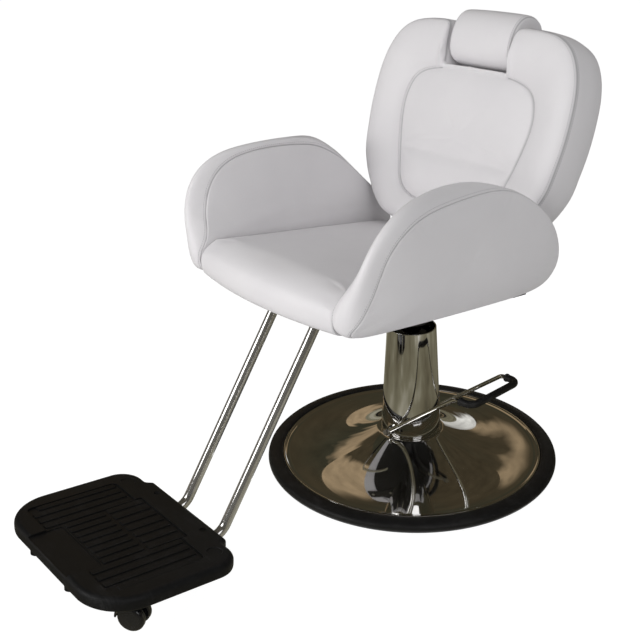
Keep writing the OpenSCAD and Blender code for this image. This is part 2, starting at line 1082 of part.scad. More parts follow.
// cross bar on the hinge line with the crank that the gas spring pushes
module back_crossbar() {
  half = rail_x - (rail_w - 1) / 2;
  color([0.07, 0.07, 0.07])
    difference() {
      union() {
        translate([-half, hinge_y, hinge_z])
          rotate([0, 90, 0])
            cylinder(r = 10, h = 2 * half);
        translate([spring_x + 5.6, hinge_y, hinge_z])
          rotate([90, 0, 90])
            rotate([0, 0, crank_a])
              linear_extrude(height = 6)
                union() {
                  circle(r = 15);
                  translate([-9, -crank_r])
                    square([18, crank_r]);
                  translate([0, -crank_r])
                    circle(r = 9);
                }
      }
      translate([spring_x, spring_pin_y, spring_pin_z])
        rotate([0, 90, 0])
          cylinder(r = 4.03, h = 20);
    }
}

module crank_pin() {
  color([0.45, 0.45, 0.47])
    translate([spring_x - 8.6, spring_pin_y, spring_pin_z])
      rotate([0, 90, 0]) {
        cylinder(r = 9, h = 3);
        cylinder(r = 4, h = 20);
      }
}

module back_screws() {
  color([0.45, 0.45, 0.47])
    at_back()
      for (s = [-1, 1])
        for (h = [-80, 90])
          translate([s * rail_x, h, hinge_w - upright_s / 2 - 3])
            cylinder(r = 6, h = 3);
}

// headrest: section up and forward, run across

head_h = 284;
head_rear_w = -back_thick + 7;
bar_low_h = 20;
bar_half_w = 15;
bar_flat = 6;
guide_gap = 0.1;
headrest_bar_w = -back_thick - 8 - 4 - bar_flat;

head_keys = [
  [236, 0],
  [262, 0],
  [300, 0],
  [324, 1],
  [340, 12],
  [347, 36],
  [343, 62],
  [328, 81],
  [304, 92],
  [272, 94],
  [246, 87],
  [229, 70],
  [222, 44],
  [223, 17]
];

head_section_ring = smooth_loop(head_keys, 2);

function head_section(x, scale) = [
  for (p = head_section_ring)
    [x, head_h + (p[0] - head_h) * scale, head_rear_w + p[1] * scale]
];

module headrest_pad() {
  e = headrest_half;
  color([0.93, 0.93, 0.93])
    at_back()
      skin(
        [-e, head_h, head_rear_w + 46],
        [
          head_section(-e, 0.6),
          head_section(-e + 0.6, 0.85),
          head_section(-e + 3.5, 0.94),
          head_section(-e + 9, 0.975),
          head_section(-e * 0.55, 1),
          head_section(0, 1.01),
          head_section(e * 0.55, 1),
          head_section(e - 9, 0.975),
          head_section(e - 3.5, 0.94),
          head_section(e - 0.6, 0.85),
          head_section(e, 0.6)
        ],
        [e, head_h, head_rear_w + 46]
      );
}

// flat bar behind the backrest, with a tab through the slot to the pad
module headrest_bar() {
  plate_w_pad = 60;
  color([0.6, 0.6, 0.62])
    at_back()
      union() {
        translate([-bar_half_w, bar_low_h, headrest_bar_w])
          cube([2 * bar_half_w, head_h + 12 - bar_low_h, bar_flat]);
        translate([-bar_half_w, head_h, headrest_bar_w])
          cube([2 * bar_half_w, 12, head_rear_w - 0.3 - headrest_bar_w]);
        translate([-plate_w_pad / 2, head_h - 24, head_rear_w - 4.3])
          cube([plate_w_pad, 54, 4]);
      }
}

// guide bracket that the flat bar slides through
module headrest_guide() {
  color([0.07, 0.07, 0.07])
    at_back()
      difference() {
        translate([-bar_half_w - 10, 120, -back_thick - 8 - 16])
          cube([2 * bar_half_w + 20, 45, 16]);
        translate([-bar_half_w - guide_gap, 119, headrest_bar_w - guide_gap])
          cube([2 * (bar_half_w + guide_gap), 47, bar_flat + 2 * guide_gap]);
      }
}

// footrest

// route of a footrest tube, as world y and z
tube_route = [
  seat_yz(-135, tube_v),
  high_bend,
  low_bend,
  plate_yz(-210, -tube_below_plate)
];

module footrest_tube() {
  translate([tube_x, 0, 0])
    rotate([90, 0, 90])
      bent_tube(tube_route, tube_bend, tube_r, tube_r - 2);
}

module footrest_tube_left() {
  color([0.85, 0.85, 0.86]) footrest_tube();
}

module footrest_tube_right() {
  color([0.85, 0.85, 0.86]) mirror([1, 0, 0]) footrest_tube();
}

module plate_brackets() {
  color([0.07, 0.07, 0.07])
    at_plate()
      for (u = [-16, -190])
        translate([-105, u, -plate_t - bracket_t])
          cube([210, 30, bracket_t]);
}

// outline of the footplate, drawn in by a distance
module plate_shape(inset) {
  w = plate_w / 2 - inset;
  front = plate_d - inset;
  back = rim_back - inset;
  front_r = 97 - inset;
  back_r = 50 - inset;
  union() {
    translate([-w + front_r, -front])
      square([2 * (w - front_r), front + back]);
    translate([-w, -front + front_r])
      square([2 * w, front - front_r + back - back_r]);
    translate([-w + back_r, back - back_r])
      square([2 * (w - back_r), back_r]);
    for (s = [-1, 1]) {
      translate([s * (w - front_r), -front + front_r])
        circle(r = front_r);
      translate([s * (w - back_r), back - back_r])
        circle(r = back_r);
    }
    polygon([
      [-150 + inset, back - 1],
      [150 - inset, back - 1],
      [138 - inset, back + 14],
      [-138 + inset, back + 14]
    ]);
  }
}

module raised_bars(places, width, from, to) {
  for (x = places)
    translate([x - width / 2, from, -5.5])
      cube([width, to - from, 4]);
}

caster_x = 134;
caster_y = -856;
caster_trail = 16;
caster_turn = 34;
wheel_low_z = 21;
stem_r = 5;
stem_top_z = 125;

module footplate() {
  color([0.05, 0.05, 0.05])
    difference() {
      union() {
        at_plate() {
          difference() {
            union() {
              translate([0, 0, -plate_t])
                linear_extrude(height = 10)
                  plate_shape(4);
              translate([0, 0, -plate_t + 3])
                linear_extrude(height = plate_t - 3 - rim_r)
                  plate_shape(0);
              // the rim is rounded off in steps
              for (a = [18:18:90])
                translate([0, 0, -rim_r - 4])
                  linear_extrude(height = 4 + rim_r * sin(a))
                    plate_shape(rim_r * (1 - cos(a - 9)));
            }
            translate([0, 0, -plate_t - 1])
              linear_extrude(height = plate_t - 8)
                plate_shape(9);
            translate([-178, -256, -3])
              cube([356, 204, 10]);
            translate([-92, -100, -3])
              cube([184, 62, 10]);
            translate([-82, -plate_d - 10, -4.5])
              cube([164, plate_d + 10 - 221, 10]);
            for (s = [-1, 1]) {
              translate([s * 168, -27, -1.2])
                cylinder(r = 16, h = 5);
              translate([s * 89, -2, -3])
                cylinder(r = 6, h = 5);
            }
          }
          raised_bars([-169, 169], 15, -234, -58);
          raised_bars([-146, -122, -98, 98, 122, 146], 15, -252, -57);
          raised_bars([-77, -55, -33, -11, 11, 33, 55, 77], 14, -217, -130);
          raised_bars([-80, -53.3, -26.7, 0, 26.7, 53.3, 80], 17, -122, -42);
          for (s = [-1, 1]) {
            for (u = [-1, -175])
              translate([s * 89, u, -plate_t])
                cylinder(r = 8, h = plate_t - 8);
            translate([s * 73, -plate_d + 14, -plate_t - 11])
              cylinder(r = 11, h = 33);
          }
        }
        for (s = [-1, 1])
          translate([s * caster_x, caster_y, 92])
            cylinder(r = 13, h = 36);
      }
      for (s = [-1, 1])
        translate([s * caster_x, caster_y, 90])
          cylinder(r = stem_r + run_gap, h = stem_top_z - 90);
      at_plate()
        for (s = [-1, 1])
          for (u = [-2, -175])
            translate([s * 89, u, -plate_t - 1])
              cylinder(r = 2.6, h = plate_t - 5);
    }
}

module plate_screws() {
  color([0.45, 0.45, 0.47])
    at_plate()
      for (s = [-1, 1])
        for (u = [-2, -175])
          translate([s * 89, u, -plate_t - bracket_t - 3])
            cylinder(r = 5, h = 3);
}

// casters under the footplate's front corners

wheel_r = wheel_d / 2;
axle_z = wheel_low_z + wheel_r;
wheel_t = 17;
wheel_gap = 12;

module at_caster(s) {
  translate([s * caster_x, caster_y, axle_z])
    rotate([0, 0, caster_turn])
      children();
}

module caster_body(s) {
  at_caster(s)
    difference() {
      union() {
        translate([0, 0, 8])
          cylinder(r = stem_r, h = stem_top_z - 0.3 - axle_z - 8);
        translate([0, 0, wheel_r + 2])
          cylinder(r = 10, h = 92 - 0.3 - axle_z - wheel_r - 2);
        translate([caster_trail, 0, 0])
          rotate([90, 0, 0])
            cylinder(r = 13, h = wheel_gap - 1, center = true);
        translate([0, -(wheel_gap - 1) / 2, -4])
          cube([caster_trail, wheel_gap - 1, 16]);
        // hood over the wheels
        translate([caster_trail, 0, 0])
          rotate([90, 0, 0])
            difference() {
              cylinder(r = wheel_r + 4.5, h = 2 * wheel_t + wheel_gap - 4, center = true);
              cylinder(r = wheel_r + 1.5, h = 60, center = true);
              translate([-50, -60, -30])
                cube([100, 60, 60]);
              translate([6, -50, -30])
                cube([60, 100, 60]);
            }
        translate([caster_trail - wheel_r - 3, -(wheel_gap - 1) / 2, 0])
          cube([12, wheel_gap - 1, 14]);
      }
      translate([caster_trail, 0, 0])
        rotate([90, 0, 0])
          cylinder(r = 3.03, h = 60, center = true);
    }
}

module caster_left() {
  color([0.03, 0.03, 0.03]) caster_body(1);
}

module caster_right() {
  color([0.03, 0.03, 0.03]) caster_body(-1);
}

module caster_axle(s) {
  color([0.45, 0.45, 0.47])
    at_caster(s)
      translate([caster_trail, 0, 0])
        rotate([90, 0, 0])
          cylinder(r = 3, h = 2 * wheel_t + wheel_gap - 6, center = true);
}

module caster_axle_left() {
  caster_axle(1);
}

module caster_axle_right() {
  caster_axle(-1);
}

// one wheel: side is -1 towards the front of the chair, 1 towards the back
module caster_wheel(s, side) {
  color([0.03, 0.03, 0.03])
    at_caster(s)
      translate([caster_trail, side * wheel_gap / 2, 0])
        rotate([-90 * side, 0, 0])
          difference() {
            rotate_extrude()
              polygon(concat(
                [[0, 0], [wheel_r - 2, 0]],
                arc(wheel_r - 4, 4, 4, -30, 30, 3),
                [[wheel_r, wheel_t - 7]],
                arc(wheel_r - 8, wheel_t - 8, 8, 10, 80, 4),
                [[0, wheel_t + 1.5]]
              ));
            translate([0, 0, -1])
              cylinder(r = 3.05, h = wheel_t - 1.5);
          }
}

module wheel_left_front() {
  caster_wheel(1, -1);
}

module wheel_left_back() {
  caster_wheel(1, 1);
}

module wheel_right_front() {
  caster_wheel(-1, -1);
}

module wheel_right_back() {
  caster_wheel(-1, 1);
}

rubber_ring();
base_shell();
base_plate();
pump_cylinder();
pump_bolts();
column_cover();
lever_shaft();
lever_rod();
lever_bolts();
pedal_sleeve();
piston();
pump_head();
seat_rail_left();
seat_rail_right();
seat_cross_front();
seat_cross_rear();
footrest_socket_left();
footrest_socket_right();
hinge_bracket_left();
hinge_bracket_right();
hinge_pins();
seat_board();
seat_cushion();
arm_left();
arm_right();
seat_bolts();
spring_anchor();
spring_anchor_pin();
gas_spring_cylinder();
gas_spring_rod();
release_boss();
release_lever();
release_knob();
backrest_cushion();
back_board();
back_upright_left();
back_upright_right();
back_crossbar();
crank_pin();
back_screws();
headrest_guide();
headrest_pad();
headrest_bar();
footrest_tube_left();
footrest_tube_right();
plate_brackets();
footplate();
plate_screws();
caster_left();
caster_right();
caster_axle_left();
caster_axle_right();
wheel_left_front();
wheel_left_back();
wheel_right_front();
wheel_right_back();
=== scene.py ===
import json
import math

import bmesh
import bpy
import numpy as np
from mathutils import Matrix, Vector


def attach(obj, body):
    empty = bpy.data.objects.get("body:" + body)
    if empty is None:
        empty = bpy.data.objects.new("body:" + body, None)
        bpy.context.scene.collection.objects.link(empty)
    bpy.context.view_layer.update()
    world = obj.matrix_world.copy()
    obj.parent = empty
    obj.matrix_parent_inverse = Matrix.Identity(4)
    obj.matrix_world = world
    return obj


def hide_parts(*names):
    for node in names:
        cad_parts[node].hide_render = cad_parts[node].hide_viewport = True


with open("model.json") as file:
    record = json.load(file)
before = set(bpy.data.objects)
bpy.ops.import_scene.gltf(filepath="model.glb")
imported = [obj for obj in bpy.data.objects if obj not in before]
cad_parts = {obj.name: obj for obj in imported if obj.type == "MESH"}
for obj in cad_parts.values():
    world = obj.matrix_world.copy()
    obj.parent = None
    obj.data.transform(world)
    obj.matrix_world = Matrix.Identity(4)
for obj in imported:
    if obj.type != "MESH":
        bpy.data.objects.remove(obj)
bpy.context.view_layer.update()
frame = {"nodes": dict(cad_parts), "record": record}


NODES = frame["nodes"]

# sizes, in millimetres
SEAT_Z = 489.0
SEAT_TILT = math.radians(3.8)
HALF = 225.0
SEAT_CROWN = 14.0
BACK_Y = 121.4
BACK_Z = 700.0
LEAN = math.radians(18.4)
BACK_T = 85.0
SLOT = 99.0
SLOT_FLOOR = 213.0
WIDE = 294 / 290
HEAD_HALF = 92.0
HEAD_REAR = -BACK_T + 7
HEAD_H = 284.0
PLATE_T = 28.0
CROSS_PLATE_T = 3.0
LEVER_Z = 92.0
LEVER_TURN = math.radians(4.5)
LYING = Matrix.Rotation(math.radians(90), 4, "X")

CLOTH_FRAMES = 12
CLOTH = {
    "quality": 6, "mass": 0.25, "tension_stiffness": 22, "compression_stiffness": 18,
    "shear_stiffness": 10, "bending_stiffness": 1.2, "use_pressure": True,
    "vertex_group_mass": "pin", "pin_stiffness": 1.0,
}


# curves and meshes
def spline(a, b, c, d, t):
    """Point between b and c on the smooth curve through a, b, c and d."""
    square = 2 * a - 5 * b + 4 * c - d
    cube = 3 * b - a - 3 * c + d
    return (2 * b + (c - a) * t + square * t * t + cube * t ** 3) / 2


def closed_curve(keys, steps):
    """Smooth closed curve through key points, steps points a key."""
    k = np.asarray(keys, float)
    a, b, c, d = np.roll(k, 1, 0), k, np.roll(k, -1, 0), np.roll(k, -2, 0)
    out = [spline(a, b, c, d, i / steps) for i in range(steps)]
    return np.stack(out, 1).reshape(-1, k.shape[1])


def between(rings, at):
    """Rings read off a smooth run through key rings; at is in key steps."""
    r = [2 * rings[0] - rings[1]] + list(rings) + [2 * rings[-1] - rings[-2]]
    out = []
    for x in at:
        i = min(int(x), len(rings) - 2)
        out.append(spline(r[i], r[i + 1], r[i + 2], r[i + 3], x - i))
    return out


def tilted(u, v, y, z, tilt):
    """Depth and height of a point given along and above a plane that slopes down to the rear."""
    return np.stack([
        y + u * math.cos(tilt) + v * math.sin(tilt),
        z - u * math.sin(tilt) + v * math.cos(tilt),
    ], -1)


def to_metres(p, y, z, tilt):
    """Points across, along and above a tilted plane to the row frame."""
    p = np.asarray(p, float)
    return np.concatenate([p[..., :1], tilted(p[..., 1], p[..., 2], y, z, tilt)], -1) / 1000


def seat_world(p):
    """x across, u along and v above the seat's plane to the row frame, in metres."""
    return to_metres(p, 0.0, SEAT_Z, SEAT_TILT)


def back_world(p):
    """x across, h up and w forward of the backrest's plane to the row frame, in metres."""
    return to_metres(p, BACK_Y, BACK_Z, LEAN - math.pi / 2)


def distances(line):
    """Distance run along a line at each of its points."""
    return np.concatenate([[0], np.cumsum(np.linalg.norm(np.diff(line, axis=0), axis=1))])


def read_off(line, run, at):
    """Points at given distances along a line."""
    return np.stack([np.interp(at, run, line[:, k]) for k in range(line.shape[1])], -1)


def outward(loop, reach):
    """Unit normals of a loop seen flat, pointing out of it."""
    d = np.roll(loop[:, :2], -reach, 0) - np.roll(loop[:, :2], reach, 0)
    out = np.stack([d[:, 1], -d[:, 0]], 1)
    return out / np.linalg.norm(out, axis=1)[:, None]


def place_mesh(mesh):
    obj = bpy.data.objects.new(mesh.name, mesh)
    bpy.context.scene.collection.objects.link(obj)
    return obj


def soften(obj, crisp=None):
    """Smooth shading, with edges sharper than crisp degrees kept hard."""
    obj.data.polygons.foreach_set("use_smooth", [True] * len(obj.data.polygons))
    if crisp is not None:
        obj.data.set_sharp_from_angle(angle=math.radians(crisp))


def link(name, verts, faces, smooth=True):
    mesh = bpy.data.meshes.new(name)
    mesh.from_pydata([tuple(v) for v in verts], [], faces)
    mesh.update()
    obj = place_mesh(mesh)
    if smooth:
        soften(obj)
    return obj


def from_bmesh(bm, name):
    mesh = bpy.data.meshes.new(name)
    bm.to_mesh(mesh)
    bm.free()
    return place_mesh(mesh)


def add_cone(bm, low, high, depth, place, sides=48):
    """Adds a cone of two end radii; place is its middle or a matrix."""
    if not isinstance(place, Matrix):
        place = Matrix.Translation(place)
    bmesh.ops.create_cone(
        bm, cap_ends=True, segments=sides, radius1=low, radius2=high, depth=depth, matrix=place
    )


def add_box(bm, middle, size):
    place = Matrix.Translation(middle) @ Matrix.Diagonal((*size, 1))
    bmesh.ops.create_cube(bm, size=1.0, matrix=place)


def ring_skin(rings, ends=None, loop=False, flat=False):
    """Vertices and faces of a skin over rings of equal length.

    ends gives a point to close each end on, flat closes them with one face each, and loop
    joins the last ring to the first.
    """
    n = len(rings[0])
    verts = [tuple(p) for r in rings for p in r]
    faces = []
    for j in range(len(rings) if loop else len(rings) - 1):
        this, other = j * n, (j + 1) % len(rings) * n
        for i in range(n):
            k = (i + 1) % n
            faces.append((this + i, this + k, other + k, other + i))
    o = (len(rings) - 1) * n
    if ends is not None:
        c = len(verts)
        verts += [tuple(p) for p in ends]
        faces += [(c, (i + 1) % n, i) for i in range(n)]
        faces += [(c + 1, o + i, o + (i + 1) % n) for i in range(n)]
    if flat:
        faces += [tuple(range(n - 1, -1, -1)), tuple(range(o, o + n))]
    return verts, faces


def skin(name, rings, **closing):
    obj = link(name, *ring_skin(rings, **closing))
    fix_normals(obj)
    return obj


def fix_normals(obj):
    bm = bmesh.new()
    bm.from_mesh(obj.data)
    bmesh.ops.recalc_face_normals(bm, faces=bm.faces)
    bm.to_mesh(obj.data)
    bm.free()


def coords(obj):
    co = np.empty(len(obj.data.vertices) * 3)
    obj.data.vertices.foreach_get("co", co)
    return co.reshape(-1, 3)


def normals(obj):
    no = np.empty(len(obj.data.vertices) * 3)
    obj.data.vertex_normals.foreach_get("vector", no)
    return no.reshape(-1, 3)


def set_coords(obj, co):
    obj.data.vertices.foreach_set("co", co.ravel())
    obj.data.update()


def apply_modifiers(obj):
    deps = bpy.context.evaluated_depsgraph_get()
    mesh = bpy.data.meshes.new_from_object(obj.evaluated_get(deps))
    old = obj.data
    obj.modifiers.clear()
    obj.data = mesh
    mesh.name = old.name
    bpy.data.meshes.remove(old)


def held(obj, n, rings):
    """Pin shares for every point, 1 on the given rings of n points."""
    pin = np.zeros(len(obj.data.vertices))
    for k in rings:
        pin[k * n:(k + 1) * n] = 1
    return pin


def every(rings, k, *ends):
    """One coordinate of all points of a skin, the two end points' last."""
    return np.concatenate([r[:, k] for r in rings] + [ends])


def puff(obj, pin, pressure, cap):
    """Cloth under pressure: pinned where pin is 1; no point moves more than cap metres."""
    start = coords(obj)
    group = obj.vertex_groups.new(name="pin")
    levels = np.round(pin, 1)
    for level in np.unique(levels):
        if level > 0:
            group.add(np.where(levels == level)[0].tolist(), float(level), "REPLACE")
    cloth = obj.modifiers.new("Cloth", "CLOTH")
    for key, value in CLOTH.items():
        setattr(cloth.settings, key, value)
    cloth.settings.uniform_pressure_force = pressure
    cloth.settings.effector_weights.gravity = 0
    cloth.collision_settings.use_collision = False
    cloth.point_cache.frame_start = 1
    cloth.point_cache.frame_end = CLOTH_FRAMES
    for f in range(1, CLOTH_FRAMES + 1):
        bpy.context.scene.frame_set(f)
    apply_modifiers(obj)
    bpy.context.scene.frame_set(1)
    obj.vertex_groups.clear()
    end = coords(obj)
    move = end - start
    size = np.linalg.norm(move, axis=1)
    size[size == 0] = 1e-9
    keep = np.minimum(size, cap * np.tanh(size / cap)) / size
    set_coords(obj, start + move * keep[:, None])


# materials
def wire(tree, value, socket):
    """Links or sets a socket."""
    if hasattr(value, "is_linked"):
        tree.links.new(value, socket)
    elif isinstance(value, tuple):
        socket.default_value = (*value, 1)
    else:
        socket.default_value = value


def math_node(tree, operation, *values):
    node = tree.nodes.new("ShaderNodeMath")
    node.operation = operation
    for value, socket in zip(values, node.inputs):
        wire(tree, value, socket)
    return node.outputs[0]


def white_rays(tree):
    """1 for camera, mirror and see-through rays, 0 for the rays that light the object."""
    rays = tree.nodes.new("ShaderNodeLightPath").outputs
    mirrored = math_node(tree, "MAXIMUM", rays["Is Glossy Ray"], rays["Is Transmission Ray"])
    return math_node(tree, "MAXIMUM", rays["Is Camera Ray"], mirrored)


class Nodes:
    """Short names for building one material."""

    def __init__(self, name):
        self.mat = bpy.data.materials.new(name)
        self.mat.use_nodes = True
        self.tree = self.mat.node_tree
        self.tree.nodes.clear()
        self.out = self.node("ShaderNodeOutputMaterial")
        self.bsdf = self.node("ShaderNodeBsdfPrincipled")
        self.wire(self.bsdf.outputs[0], self.out.inputs[0])
        self.coord = self.node("ShaderNodeTexCoord").outputs["Object"]

    def set(self, **values):
        for key, value in values.items():
            self.bsdf.inputs[key.replace("_", " ")].default_value = value
        return self

    def wire(self, value, socket):
        wire(self.tree, value, socket)

    def node(self, kind, **inputs):
        n = self.tree.nodes.new(kind)
        for key, value in inputs.items():
            self.wire(value, n.inputs[key.replace("_", " ")])
        return n

    def noise(self, scale, detail=4.0, rough=0.5, stretch=None):
        v = self.coord
        if stretch is not None:
            m = self.node("ShaderNodeMapping", Vector=v)
            m.inputs["Scale"].default_value = stretch
            v = m.outputs[0]
        n = self.node("ShaderNodeTexNoise", Vector=v, Scale=scale, Detail=detail, Roughness=rough)
        return n.outputs["Fac"]

    def cells(self, scale, feature="F1"):
        n = self.node("ShaderNodeTexVoronoi", Vector=self.coord, Scale=scale)
        n.feature = feature
        return n.outputs["Distance"]

    def ramp(self, fac, stops):
        n = self.node("ShaderNodeValToRGB")
        e = n.color_ramp.elements
        while len(e) < len(stops):
            e.new(0.5)
        for el, (pos, col) in zip(e, stops):
            el.position = pos
            el.color = (*col, 1) if isinstance(col, tuple) else (col, col, col, 1)
        self.wire(fac, n.inputs[0])
        return n.outputs[0]

    def fade(self, fac, low, high):
        return self.ramp(fac, [(low, 0.0), (high, 1.0)])

    def math(self, operation, *values):
        return math_node(self.tree, operation, *values)

    def scaled(self, value, factor, added):
        return self.math("MULTIPLY_ADD", value, factor, added)

    def mix(self, fac, a, b):
        n = self.node("ShaderNodeMix")
        n.data_type = "RGBA"
        for i, value in ((0, fac), (6, a), (7, b)):
            self.wire(value, n.inputs[i])
        return n.outputs[2]

    def attribute(self, name):
        n = self.node("ShaderNodeAttribute")
        n.attribute_name = name
        return n.outputs["Fac"]

    def bump(self, height, strength, distance, after=None):
        n = self.node("ShaderNodeBump", Height=height, Strength=strength, Distance=distance)
        if after is not None:
            self.wire(after, n.inputs["Normal"])
        return n.outputs[0]

    def finish(self, colour, rough, normal):
        for key, value in (("Base Color", colour), ("Roughness", rough), ("Normal", normal)):
            self.wire(value, self.bsdf.inputs[key])
        return self.mat


def leather():
    m = Nodes("white_leather").set(Specular_IOR_Level=0.42, Coat_Weight=0.03, Coat_Roughness=0.35)
    # seam: painted shade along the bottom of the seam grooves, written by groove()
    seam = m.attribute("seam")
    blotch = m.noise(7.0, 5.0, 0.55)
    fine = m.noise(90.0, 6.0, 0.6)
    base = m.mix(m.fade(blotch, 0.35, 0.7), (0.765, 0.750, 0.765), (0.795, 0.780, 0.792))
    # the seam's painted shade darkens the leather towards grey
    base = m.mix(m.math("MULTIPLY", seam, 0.55), base, (0.25, 0.247, 0.26))
    rough = m.scaled(fine, 0.16, 0.40)
    rough = m.scaled(seam, 0.12, rough)
    pores = m.fade(m.cells(620.0), 0.0, 0.42)
    folds = m.fade(m.cells(230.0, "DISTANCE_TO_EDGE"), 0.0, 0.10)
    n = m.bump(m.noise(16.0, 3.0, 0.5), 0.10, 0.004)
    n = m.bump(folds, 0.07, 0.0006, n)
    n = m.bump(pores, 0.12, 0.0004, n)
    return m.finish(base, rough, n)


def thread():
    m = Nodes("seam_thread").set(Specular_IOR_Level=0.3)
    twist = m.node("ShaderNodeTexWave", Vector=m.coord, Scale=900.0, Distortion=1.0).outputs["Fac"]
    colour = m.mix(twist, (0.36, 0.355, 0.37), (0.52, 0.515, 0.53))
    return m.finish(colour, m.scaled(twist, 0.1, 0.6), m.bump(twist, 0.3, 0.0002))


def chrome(name="chrome", smudge=0.05, low=0.035, metal=1.0):
    m = Nodes(name).set(Metallic=metal)
    smear = m.noise(9.0, 6.0, 0.62)
    dust = m.noise(260.0, 3.0, 0.7)
    rough = m.scaled(m.fade(smear, 0.42, 0.72), smudge, low)
    rough = m.scaled(m.fade(dust, 0.62, 0.8), 0.06, rough)
    colour = m.mix(m.fade(smear, 0.3, 0.8), (0.80, 0.795, 0.785), (0.72, 0.715, 0.705))
    return m.finish(colour, rough, m.bump(m.noise(30.0, 2.0, 0.5), 0.012, 0.001))


def rubber():
    m = Nodes("black_rubber").set(Specular_IOR_Level=0.38)
    scuff = m.noise(22.0, 8.0, 0.7, (1.0, 1.0, 4.0))
    dust = m.noise(150.0, 5.0, 0.7)
    colour = m.mix(m.fade(scuff, 0.5, 0.85), (0.008, 0.008, 0.0085), (0.030, 0.029, 0.029))
    rough = m.scaled(scuff, 0.25, 0.38)
    n = m.bump(dust, 0.25, 0.0004)
    return m.finish(colour, rough, m.bump(m.noise(40.0, 3.0, 0.5), 0.12, 0.0012, n))


def moulded():
    m = Nodes("black_plastic").set(Specular_IOR_Level=0.26)
    cells = m.fade(m.cells(700.0), 0.0, 0.5)
    wear = m.noise(14.0, 9.0, 0.72)
    scratch = m.noise(60.0, 8.0, 0.75, (0.25, 6.0, 1.0))
    worn = m.fade(wear, 0.5, 0.75)
    scratched = m.fade(scratch, 0.45, 0.65)
    mask = m.math("MULTIPLY", worn, scratched)
    base = m.mix(mask, (0.007, 0.0073, 0.0078), (0.034, 0.034, 0.035))
    rough = m.scaled(wear, 0.2, 0.36)
    n = m.bump(cells, 0.3, 0.0004)
    return m.finish(base, rough, m.bump(scratch, 0.06, 0.0005, n))


def gloss():
    m = Nodes("gloss_black").set(Coat_Weight=0.4, Coat_Roughness=0.06)
    dust = m.noise(120.0, 6.0, 0.7)
    colour = m.mix(m.fade(dust, 0.55, 0.85), (0.009, 0.009, 0.010), (0.035, 0.034, 0.034))
    rough = m.scaled(dust, 0.2, 0.12)
    return m.finish(colour, rough, m.bump(m.noise(50.0, 2.0, 0.5), 0.05, 0.001))


def paint():
    m = Nodes("black_paint").set(Coat_Weight=0.2, Coat_Roughness=0.25)
    peel = m.noise(420.0, 2.0, 0.5)
    wear = m.noise(18.0, 8.0, 0.7)
    colour = m.mix(m.fade(wear, 0.6, 0.8), (0.018, 0.018, 0.019), (0.05, 0.048, 0.046))
    return m.finish(colour, m.scaled(wear, 0.2, 0.32), m.bump(peel, 0.2, 0.0004))


def zinc():
    m = Nodes("zinc_steel").set(Metallic=1.0)
    brush = m.noise(300.0, 4.0, 0.6, (1.0, 1.0, 0.06))
    spangle = m.cells(160.0)
    colour = m.mix(spangle, (0.50, 0.50, 0.515), (0.62, 0.62, 0.63))
    return m.finish(colour, m.scaled(brush, 0.18, 0.26), m.bump(brush, 0.1, 0.0003))


def plywood():
    m = Nodes("black_board").set(Specular_IOR_Level=0.3)
    grain = m.noise(70.0, 7.0, 0.65, (0.12, 1.0, 1.0))
    colour = m.mix(grain, (0.018, 0.017, 0.016), (0.055, 0.050, 0.045))
    return m.finish(colour, m.scaled(grain, 0.2, 0.55), m.bump(grain, 0.25, 0.0005))


FLOOR_GLOW = 1.22
FLOOR_GLOW_SHARE = 0.78


def floor_material():
    m = Nodes("floor_paper").set(Specular_IOR_Level=0.0)
    fibre = m.noise(40.0, 5.0, 0.6)
    colour = m.mix(fibre, (0.90, 0.90, 0.90), (0.93, 0.93, 0.93))
    m.finish(colour, 1.0, m.bump(m.noise(400.0, 2.0, 0.5), 0.02, 0.0003))
    glow = m.node("ShaderNodeEmission", Color=(1, 1, 1), Strength=FLOOR_GLOW)
    both = m.node("ShaderNodeMixShader")
    m.wire(m.math("MULTIPLY", white_rays(m.tree), FLOOR_GLOW_SHARE), both.inputs[0])
    m.wire(m.bsdf.outputs[0], both.inputs[1])
    m.wire(glow.outputs[0], both.inputs[2])
    m.wire(both.outputs[0], m.out.inputs[0])
    return m.mat


LEATHER = leather()
THREAD = thread()
CHROME = chrome()
TUBE = chrome("chrome_tube", 0.05, 0.05, 0.86)
DISC = chrome("chrome_disc", 0.035, 0.025)
RUBBER = rubber()
PLASTIC = moulded()
FINISH = {
    "white_leather": LEATHER, "chrome": CHROME, "black_rubber": RUBBER, "black_plastic": PLASTIC,
    "gloss_black": gloss(), "black_paint": paint(), "zinc_steel": zinc(), "black_board": plywood(),
}
SLOT_OF = {s["node"]: s["material_slot"] for s in frame["record"]["subparts"]}
for name, obj in NODES.items():
    mat = FINISH[SLOT_OF[name]]
    if obj.material_slots:
        for slot in obj.material_slots:
            slot.material = mat
    else:
        obj.data.materials.append(mat)


def dress(obj, body, mat, replaces=()):
    if not obj.data.materials:
        obj.data.materials.append(mat)
    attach(obj, body)
    if replaces:
        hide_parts(*replaces)
    return obj


# stitching
THREAD_WIDTH = 0.00042
THREAD_LIFT = 0.0002
SEW_WIDE = 0.0065
SEW_CLOSE = 0.0055
THREAD_SECTIONS = ((0.0, 0.35, -0.5), (0.18, 1.0, 0.7), (0.5, 1.05, 1.0), (0.82, 1.0, 0.7), (1.0, 0.35, -0.5))


